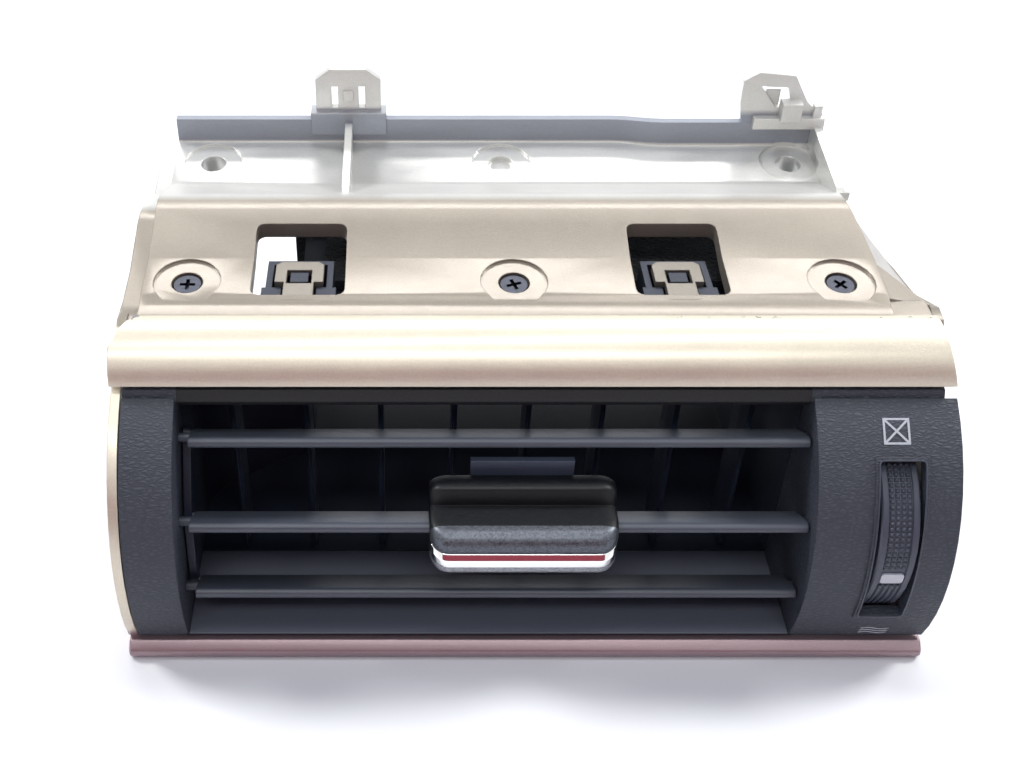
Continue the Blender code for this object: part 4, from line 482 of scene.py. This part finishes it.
def needled_felt(kit):
    """Needled polyester felt: matted fibres that swallow light, with painted shade between them mixed in by a
    noise.
    """
    made, tree, place = start_material("needled_polyester_felt")
    mat = add(tree, "TexNoise", {"Vector": place, "Scale": 1 / (0.9 * MM), "Detail": 7.0, "Roughness": 0.75})
    pores = add(tree, "TexVoronoi", {"Vector": place, "Scale": 1 / (1.3 * MM)}, "Distance")
    height = add(tree, "Math", {0: pores, 1: 0.6, 2: mat}, operation="MULTIPLY_ADD")
    # Painted shade between the fibres, spread by a noise
    shade = add(tree, "Mix", {0: mat, 6: kit.felt_gap_shade, 7: kit.felt}, 2, data_type="RGBA")
    normal = add(tree, "Bump", {"Height": height, "Distance": 0.5 * MM, "Strength": 0.9})
    close_material(tree, {"Base Color": shade, "Roughness": 0.95, "Normal": normal,
                          "Specular IOR Level": 0.15, "Sheen Weight": 0.3, "Sheen Roughness": 0.5})
    return made


def printed_ink(kit):
    """Pad-printed ink: thin and slightly uneven, with a low gloss."""
    made, tree, place = start_material("pad_printed_ink")
    uneven = add(tree, "TexNoise", {"Vector": place, "Scale": 1 / (0.5 * MM), "Detail": 3.0})
    shade = add(tree, "Mix", {0: uneven, 6: toned(kit.mark, 0.7), 7: kit.mark}, 2, data_type="RGBA")
    close_material(tree, {"Base Color": shade, "Roughness": 0.45})
    return made


def matt_laminate(kit):
    """White matt laminate: it holds a soft shadow and mirrors almost nothing. Far off it is plain white."""
    made, tree, place = start_material("matt_laminate")
    top = add(tree, "BsdfPrincipled", {"Base Color": kit.floor, "Roughness": 0.6, "Specular IOR Level": 0.2})
    far = add(tree, "VectorMath", {0: place}, "Value", operation="LENGTH")
    far = add(tree, "MapRange", {0: far, 1: FLOOR_NEAR, 2: FLOOR_FAR})
    far = add(tree, "Math", {0: far, 1: in_view(tree)}, operation="MULTIPLY")
    white = add(tree, "Emission", {"Color": linear("#FFFFFF"), "Strength": 1.0})
    add(tree, "OutputMaterial", {"Surface": add(tree, "MixShader", {0: far, 1: top, 2: white})})
    return made


def painted_card(kit):
    """Card painted a dull dark red, for the chrome to mirror."""
    made, tree, _ = start_material("painted_card")
    close_material(tree, {"Base Color": kit.card, "Roughness": 0.6, "Specular IOR Level": 0.2})
    return made


def smooth_facets(node):
    """Shades facets that meet at a small angle as one curve, and leaves corners crisp and flats flat."""
    mesh = node.data
    if "custom_normal" in mesh.attributes:
        mesh.attributes.remove(mesh.attributes["custom_normal"])
    spots = [tuple(round(c / SAME_SPOT) for c in vertex.co) for vertex in mesh.vertices]
    normals = {}
    for face in mesh.polygons:
        face.use_smooth = True
        for first, second in face.edge_keys:
            normals.setdefault(frozenset((spots[first], spots[second])), []).append(face.normal.copy())
    for edge in mesh.edges:
        met = normals[frozenset(spots[corner] for corner in edge.vertices)]
        paired = len(met) == 2 and all(normal.length for normal in met)
        edge.use_edge_sharp = not paired or met[0].angle(met[1]) > FACET_LIMIT
    node.modifiers.new("weld", "WELD").merge_threshold = WELDED
    node.modifiers.new("flats", "WEIGHTED_NORMAL").keep_sharp = True


def dress(names, material):
    """Gives CAD nodes their finish and smooth arcs."""
    for name in names:
        if name not in frame["nodes"]:
            raise RuntimeError(f"the frame has no node named {name}")
        node = frame["nodes"][name]
        node.data.materials.clear()
        node.data.materials.append(material)
        smooth_facets(node)


def new_piece(name, shape, material, body, smooth=False):
    """Turns a shape into a piece that rides on a body."""
    mesh = bpy.data.meshes.new(name)
    bmesh.ops.recalc_face_normals(shape, faces=shape.faces)
    shape.to_mesh(mesh)
    shape.free()
    mesh.materials.append(material)
    if smooth:
        mesh.shade_smooth()
        mesh.set_sharp_from_angle(angle=CREASE_LIMIT)
    piece = bpy.data.objects.new(name, mesh)
    bpy.context.scene.collection.objects.link(piece)
    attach(piece, body)
    return piece


def skin_rings(shape, rings):
    """Joins closed rings of places into one closed skin with both ends shut."""
    made = [[shape.verts.new(place) for place in ring] for ring in rings]
    for first, second in zip(made, made[1:]):
        for k in range(len(first)):
            following = (k + 1) % len(first)
            shape.faces.new((first[k], first[following], second[following], second[k]))
    shape.faces.new(made[0])
    shape.faces.new(made[-1][::-1])


def on_face(across, along, lift):
    """A place on the register's face: across in X, along up its arc from straight ahead, lift out of it."""
    turn, reach = along / FACE_RADIUS, FACE_RADIUS + lift
    return FACE_AXIS + Vector((across, -reach * math.cos(turn), reach * math.sin(turn)))


def print_line(shape, points, width, lift):
    """A raised line along places on the register's face."""
    rings = []
    last = len(points) - 1
    for number, point in enumerate(points):
        before, after = Vector(points[max(number - 1, 0)]), Vector(points[min(number + 1, last)])
        along = (after - before).normalized()
        side = Vector((-along.y, along.x)) * width / 2
        rings.append([on_face(*(Vector(point) + offset), height)
                      for offset, height in ((side, lift), (side, 0), (-side, 0), (-side, lift))])
    skin_rings(shape, rings)


def straight(start, end, steps=6):
    """Places along a straight line."""
    return [tuple(Vector(start).lerp(Vector(end), i / steps)) for i in range(steps + 1)]


class VENT_OT_paint_housing(bpy.types.Operator):
    """Paint the housing in satin champagne, darker behind the roll, with its chips, its bare grey rear shelf,
    and painted shade on its rim, latches and lower trim
    """

    bl_idname = "vent.paint_housing"
    bl_label = "Paint housing"

    def execute(self, context):
        dress(["housing"], champagne_paint(context.scene.vent_finish))
        return {"FINISHED"}


class VENT_OT_finish_register(bpy.types.Operator):
    """Give the end caps their leather grain and the duct its plain black, and bead the wheel's slot"""

    bl_idname = "vent.finish_register"
    bl_label = "Finish register"

    def execute(self, context):
        kit = context.scene.vent_finish
        dress(["front_bezel"], leather_grained(kit))
        dress(["air_duct"], moulded("moulded_black_pp", kit.duct, 0.55))
        bead = moulded("smooth_black_pp", kit.bezel, 0.34, edge=0.1)
        new_piece("slot_bead", self.bead(context.scene.vent_detail), bead, "base")
        return {"FINISHED"}

    @staticmethod
    def bead(detail):
        """A fine bead with rounded corners round the thumbwheel's slot."""
        shape = bmesh.new()
        width, lift = detail.bead_width, 0.72 * MM
        half, corner, steps = SLOT_HALF + width / 2, 1.1 * MM, 4
        low, high = SLOT_LOW * FACE_RADIUS - width, SLOT_HIGH * FACE_RADIUS + width
        points = []
        for side, end, first in ((1, high, 0), (-1, high, 90), (-1, low, 180), (1, low, 270)):
            inward = corner if end == low else -corner
            for step in range(steps + 1):
                turn = math.radians(first + 90 * step / steps)
                points.append((SLOT_MIDDLE + side * (half - corner) + corner * math.cos(turn),
                               end + inward + corner * math.sin(turn)))
        line = []
        for start, end in zip(points, points[1:] + points[:1]):
            upright = math.dist(start, end) > 5 * MM
            line += straight(start, end, 12 if upright else 1)[:-1]
        print_line(shape, line + line[:1], width, lift)
        return shape


class VENT_OT_finish_slats(bpy.types.Operator):
    """Finish the slats, the vanes and the links that move them"""

    bl_idname = "vent.finish_slats"
    bl_label = "Finish slats and vanes"

    def execute(self, context):
        kit = context.scene.vent_finish
        slats = moulded("satin_charcoal_abs", kit.slat, 0.38, texture=0.4, depth=0.03, edge=0.5)
        vanes = moulded("black_pp_vanes", kit.duct, 0.44)
        links = moulded("grey_acetal", kit.link, 0.40)
        dress(["slat_upper", "slat_middle", "slat_lower"], slats)
        dress([f"vane_{number}" for number in range(1, 9)] + ["shutoff_door"], vanes)
        dress(["knob_fork", "door_lever", "control_rod", "vane_link"], links)
        dress(["slat_link"], vanes)
        return {"FINISHED"}


class VENT_OT_shape_knob(bpy.types.Operator):
    """Shape the sliding knob with its rounded ends, its lip and its bright strip"""

    bl_idname = "vent.shape_knob"
    bl_label = "Shape knob"

    def execute(self, context):
        kit, detail = context.scene.vent_finish, context.scene.vent_detail
        self.corner = detail.knob_corner
        grip = self.loft("knob_grip", self.grip_outline(), KNOB_HALF, metallic_knob_paint(kit), "knob_black")
        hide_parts("knob_body")
        strip = self.loft("knob_chrome_strip", self.strip_outline(), KNOB_HALF - 0.5 * MM,
                          bright_plating(kit), "bright_chrome")
        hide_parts("knob_bright_strip")
        return {"FINISHED"}

    def loft(self, name, outline, half, material, slot):
        """Carries a side outline across the knob, drawn in towards the ends as their corners round off."""
        shape = bmesh.new()
        steps = 9
        ends = [half - self.corner * (1 - math.sin(math.pi / 2 * k / steps)) for k in range(steps + 1)]
        xs = [-x for x in reversed(ends)] + ends
        skin_rings(shape, [[self.rounded(x, y, z) for y, z in outline] for x in xs])
        return new_piece(name, shape, material, "knob", smooth=True)

    def rounded(self, x, y, z):
        """A place on the knob, moved back and in where it is near an end."""
        past = max(abs(x) - (KNOB_HALF - self.corner), 0) / self.corner
        inward = 1 - math.sqrt(max(1 - past**2, 0))
        y = KNOB_WAIST_Y + (y - KNOB_WAIST_Y) * (1 - KNOB_DRAWN_Y * inward)
        z = KNOB_WAIST_Z + (z - KNOB_WAIST_Z) * (1 - KNOB_DRAWN_Z * inward)
        return KNOB_CENTRE + Vector((x, y, z))

    @staticmethod
    def arc(centre_y, centre_z, radius, first, last, steps=12):
        """Part of a circle in the side view; 0 degrees points forward and 90 up."""
        turns = [math.radians(first + (last - first) * i / steps) for i in range(steps + 1)]
        return [(centre_y - radius * math.cos(t), centre_z + radius * math.sin(t)) for t in turns]

    def grip_outline(self):
        """Lip, groove for the strip, the roll above it, the ledge behind the roll, the raised back, in mm."""
        lip = [(-9.0, -7.1), (-10.2, -6.9), (-10.8, -6.3), (-10.9, -5.6), (-10.9, -4.6), (-10.5, -4.3)]
        groove = [(-9.6, -4.25), (-9.6, -0.15)]
        roll = self.arc(-7.2, 1.5, 3.85, -10, 82)
        ledge = [(-5.6, 5.4), (-0.1, 5.6)]
        top = [(0.6, 9.7), (0.8, 10.15), (1.3, 10.4), (3.2, 10.45), (5.4, 10.1)]
        back = [(6.3, 9.4), (6.6, 8.4), (6.6, 0.0), (6.2, -3.5), (5.0, -5.8), (2.0, -7.0)]
        return [(y * MM, z * MM) for y, z in lip + groove + roll + ledge + top + back]

    @staticmethod
    def strip_outline():
        """An upright lower face, a face that leans back above it, and a rolled top edge.

        Each stretch is an arc: its radius in mm, and the way it faces at its start and end, in degrees up.
        """
        groove, steps = -9.2, 4
        y, z = -11.3, -3.75
        outline = [(groove, -4.2), (-11.05, -4.2), (-11.25, -4.05), (y, z)]
        for radius, first, last in ((45, 0, 2), (0.8, 2, 26), (9, 26, 35), (0.5, 35, 84)):
            for part in range(steps):
                turn = math.radians(first + (last - first) * (part + 0.5) / steps)
                reach = radius * math.radians(last - first) / steps
                y, z = y + math.sin(turn) * reach, z + math.cos(turn) * reach
                outline.append((y, z))
        return [(y * MM, z * MM) for y, z in outline + [(groove, z)]]


class VENT_OT_detail_wheel(bpy.types.Operator):
    """Knurl the thumbwheel's band, rib it under the white block and print the block"""

    bl_idname = "vent.detail_wheel"
    bl_label = "Detail thumbwheel"

    def execute(self, context):
        kit, detail = context.scene.vent_finish, context.scene.vent_detail
        rubber = moulded("black_tpe", kit.bezel, 0.42, edge=0.25)
        dress(["thumbwheel"], rubber)
        new_piece("wheel_knurls", self.knurls(detail), rubber, "wheel")
        new_piece("wheel_block", self.block(detail), printed_ink(kit), "wheel")
        return {"FINISHED"}

    @staticmethod
    def on_rim(across, turn, reach):
        """A place on the wheel: turn is up from straight ahead, in radians."""
        return WHEEL_CENTRE + Vector((across, -reach * math.cos(turn), reach * math.sin(turn)))

    def knurls(self, detail):
        """Pyramids in columns round the wheel, plain at the white block and ribbed under it."""
        shape = bmesh.new()
        step = 2 * math.pi / detail.knurl_rows
        pitch = detail.knurl_band / detail.knurl_columns
        plain = (detail.block_height / 2 + BLOCK_GAP) / WHEEL_RADIUS
        for row in range(detail.knurl_rows):
            turn = (row + 0.5) * step - math.pi
            if abs(turn) < plain:
                continue
            ribbed = -(plain + RIBS_TURN) < turn < 0
            for column in range(detail.knurl_columns):
                left = column * pitch - detail.knurl_band / 2
                self.knurl(shape, left, turn, pitch, step, detail.knurl_height, ribbed)
        return shape

    def knurl(self, shape, left, turn, pitch, step, height, ribbed):
        """One pyramid with a blunt top, or a stretch of rib that runs on into the next."""
        rings = []
        for edge, lift in ((KNURL_FOOT, 0), (KNURL_TOP, height)):
            ends = 0 if ribbed else edge
            ring = ((edge, ends), (1 - edge, ends), (1 - edge, 1 - ends), (edge, 1 - ends))
            rings.append([self.on_rim(left + pitch * a, turn + step * (b - 0.5), BAND_FLOOR + lift)
                          for a, b in ring])
        skin_rings(shape, rings)

    def block(self, detail):
        """The white block, wrapped on the rim, with rounded corners."""
        shape = bmesh.new()
        steps, corner = 10, 0.6 * MM
        sunk, proud = -0.1 * MM, 0.46 * MM
        half_width, half_height = detail.block_width / 2, detail.block_height / 2
        rings = []
        for i in range(steps + 1):
            along = half_height * (2 * i / steps - 1)
            past = max(abs(along) - half_height + corner, 0)
            width = half_width - corner + math.sqrt(max(corner**2 - past**2, 0))
            ring = ((-width, sunk), (-width, proud), (width, proud), (width, sunk))
            rings.append([self.on_rim(x, along / WHEEL_RADIUS, BAND_FLOOR + lift) for x, lift in ring])
        skin_rings(shape, rings)
        return shape


class VENT_OT_print_symbols(bpy.types.Operator):
    """Print the closed mark above the thumbwheel and the open mark below it"""

    bl_idname = "vent.print_symbols"
    bl_label = "Print symbols"

    def execute(self, context):
        kit, detail = context.scene.vent_finish, context.scene.vent_detail
        ink = printed_ink(kit)
        new_piece("closed_symbol", self.closed(detail), ink, "base")
        new_piece("open_symbol", self.opened(detail), ink, "base")
        return {"FINISHED"}

    @staticmethod
    def closed(detail):
        """A square with both diagonals. Each line lies a hair above the last, so that none share a face."""
        shape = bmesh.new()
        middle, width = Vector(CLOSED_MARK), detail.symbol_line
        edge = (detail.symbol_size - width) / 2
        corners = [middle + Vector((a, b)) * edge for a, b in ((-1, -1), (1, -1), (1, 1), (-1, 1))]
        sides, diagonals = [(0, 1), (1, 2), (2, 3), (3, 0)], [(0, 2), (1, 3)]
        for number, pair in enumerate(sides + diagonals):
            start, end = [corners[corner] for corner in pair]
            reach = (end - start).normalized() * width / 2 * (pair in sides)
            print_line(shape, straight(start - reach, end + reach), width, (0.07 + 0.006 * number) * MM)
        return shape

    @staticmethod
    def opened(detail):
        """Three wavy lines, finer than those of the closed mark."""
        shape = bmesh.new()
        middle = Vector(OPEN_MARK)
        width, gap, swing, steps = 7.0 * MM, 1.25 * MM, 0.4 * MM, 18
        for row in (-1, 0, 1):
            points = []
            for i in range(steps + 1):
                wave = swing * math.sin(2 * math.pi * i / steps)
                points.append((middle.x + width * (i / steps - 0.5), middle.y + row * gap + wave))
            print_line(shape, points, detail.symbol_line * 0.6, 0.08 * MM)
        return shape


class VENT_OT_finish_felt(bpy.types.Operator):
    """Finish the felt and the foams, and tease loose fibres out of the felt"""

    bl_idname = "vent.finish_felt"
    bl_label = "Finish felt and foams"

    def execute(self, context):
        felt = needled_felt(context.scene.vent_finish)
        dress(["port_gasket", "roof_felt", "door_seal_front", "door_seal_rear"], felt)
        new_piece("felt_fibres", self.fibres(context.scene.vent_detail), felt, "base")
        return {"FINISHED"}

    @staticmethod
    def fibres(detail):
        """Loose fibres on the felt's top: short ribbons, half_width millimetres to each side, with a bend."""
        draw = random.Random(7)
        low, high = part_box("roof_felt")
        sunk, half_width = 0.05 * MM, 0.04
        before_bend, past_bend = 0.55, 0.45
        shape = bmesh.new()
        for _ in range(detail.fibre_count):
            root = Vector((draw.uniform(low.x, high.x), draw.uniform(low.y, high.y), high.z - sunk))
            lean = Vector((draw.uniform(-1, 1), draw.uniform(-1, 1), draw.uniform(0.2, 0.9))).normalized()
            side = lean.cross(Vector((0, 0, 1))).normalized() * half_width * MM
            reach = detail.fibre_length * draw.uniform(0.3, 1.0)
            middle = root + lean * reach * before_bend
            droop = Vector((draw.uniform(-1, 1), draw.uniform(-1, 1), -0.8))
            tip = middle + (lean + droop).normalized() * reach * past_bend
            places = (root - side, root + side, middle + side, middle - side, tip)
            spots = [shape.verts.new(place) for place in places]
            shape.faces.new(spots[:4])
            shape.faces.new((spots[3], spots[2], spots[4]))
        return shape


class VENT_OT_finish_screws(bpy.types.Operator):
    """Finish the three screws"""

    bl_idname = "vent.finish_screws"
    bl_label = "Finish screws"

    def execute(self, context):
        dress(["screw_1", "screw_2", "screw_3"], zinc_steel(context.scene.vent_finish))
        return {"FINISHED"}


class VENT_OT_set_stage(bpy.types.Operator):
    """Set the pale floor, the lights, the background and the camera"""

    bl_idname = "vent.set_stage"
    bl_label = "Set stage"

    def execute(self, context):
        kit = context.scene.vent_stage
        self.sheet("floor", (kit.floor_size, kit.floor_size), matt_laminate(kit))
        card = self.sheet("warm_card", CARD_SIZE, painted_card(kit), CARD_SPOT, CARD_TARGET)
        card.visible_camera = card.visible_shadow = False
        self.room(context.scene, kit)
        for name, (spot, target, size, power) in LAMPS.items():
            self.light(name, spot, target, size, getattr(kit, power))
        self.camera(context.scene, kit)
        context.scene.view_settings.view_transform = "Standard"
        return {"FINISHED"}

    @staticmethod
    def sheet(name, size, material, spot=(0, 0, 0), target=None):
        """A flat sheet of the stage. It faces its target, and without one it lies flat."""
        shape = bmesh.new()
        bmesh.ops.create_grid(shape, x_segments=1, y_segments=1, size=0.5)
        for vertex in shape.verts:
            vertex.co = Vector((vertex.co.x * size[0], vertex.co.y * size[1], 0))
        mesh = bpy.data.meshes.new(name)
        shape.to_mesh(mesh)
        shape.free()
        mesh.materials.append(material)
        sheet = bpy.data.objects.new(name, mesh)
        sheet.location = spot
        if target:
            sheet.rotation_euler = (Vector(target) - Vector(spot)).to_track_quat("Z", "Y").to_euler()
        bpy.context.scene.collection.objects.link(sheet)
        return sheet

    @staticmethod
    def room(scene, kit):
        """A plain bright room: white where it is seen, softer and a little cool as light on the vent."""
        world = bpy.data.worlds.new("plain_room")
        scene.world = world
        world.use_nodes = True
        tree = world.node_tree
        tree.nodes.clear()
        seen = in_view(tree)
        strength = add(tree, "MapRange", {0: seen, 3: kit.ambient, 4: 1.0})
        shade = add(tree, "Mix", {0: seen, 6: kit.room, 7: linear("#FFFFFF")}, 2, data_type="RGBA")
        light = add(tree, "Background", {"Color": shade, "Strength": strength})
        add(tree, "OutputWorld", {"Surface": light})

    @staticmethod
    def light(name, spot, target, size, power):
        """A soft rectangular lamp that faces its target."""
        lamp = bpy.data.lights.new(name, "AREA")
        lamp.shape = "RECTANGLE"
        lamp.size, lamp.size_y = size
        lamp.energy = power
        item = bpy.data.objects.new(name, lamp)
        item.location = spot
        item.rotation_euler = (Vector(spot) - Vector(target)).to_track_quat("Z", "Y").to_euler()
        item.visible_camera = False
        bpy.context.scene.collection.objects.link(item)

    @staticmethod
    def camera(scene, kit):
        """The photograph's view: 40 degrees down, with the frame moved right of the lens's axis."""
        lens = bpy.data.cameras.new("camera")
        lens.lens, lens.sensor_width = kit.lens, SENSOR_WIDTH
        lens.shift_x = PHOTO_MOVED / PHOTO_WIDTH
        lens.clip_start = 0.01
        item = bpy.data.objects.new("camera", lens)
        item.location = CAMERA_SPOT
        item.rotation_euler = (math.pi / 2 - CAMERA_DOWN, 0, 0)
        scene.collection.objects.link(item)
        scene.camera = item


OPERATORS = (VENT_OT_paint_housing, VENT_OT_finish_register, VENT_OT_finish_slats, VENT_OT_shape_knob,
             VENT_OT_detail_wheel, VENT_OT_print_symbols, VENT_OT_finish_felt, VENT_OT_finish_screws,
             VENT_OT_set_stage)
GROUPS = {"vent_finish": VentFinish, "vent_detail": VentDetail, "vent_stage": VentStage}


class VENT_PT_sidebar(bpy.types.Panel):
    """Lists the vent's values and steps"""

    bl_label = "Vent"
    bl_space_type = "VIEW_3D"
    bl_region_type = "UI"
    bl_category = "Vent"

    def draw(self, context):
        for name, group in GROUPS.items():
            box = self.layout.box()
            for key in group.__annotations__:
                box.prop(getattr(context.scene, name), key)
        for operator in OPERATORS:
            self.layout.operator(operator.bl_idname)


def register():
    for item in (*GROUPS.values(), *OPERATORS, VENT_PT_sidebar):
        bpy.utils.register_class(item)
    for name, group in GROUPS.items():
        setattr(bpy.types.Scene, name, PointerProperty(type=group))


def unregister():
    for name in GROUPS:
        delattr(bpy.types.Scene, name)
    for item in (VENT_PT_sidebar, *reversed(OPERATORS), *reversed(GROUPS.values())):
        bpy.utils.unregister_class(item)


def main():
    register()
    bpy.ops.vent.paint_housing()
    bpy.ops.vent.finish_register()
    bpy.ops.vent.finish_slats()
    bpy.ops.vent.shape_knob()
    bpy.ops.vent.detail_wheel()
    bpy.ops.vent.print_symbols()
    bpy.ops.vent.finish_felt()
    bpy.ops.vent.finish_screws()
    bpy.ops.vent.set_stage()


if __name__ == "__main__":
    main()
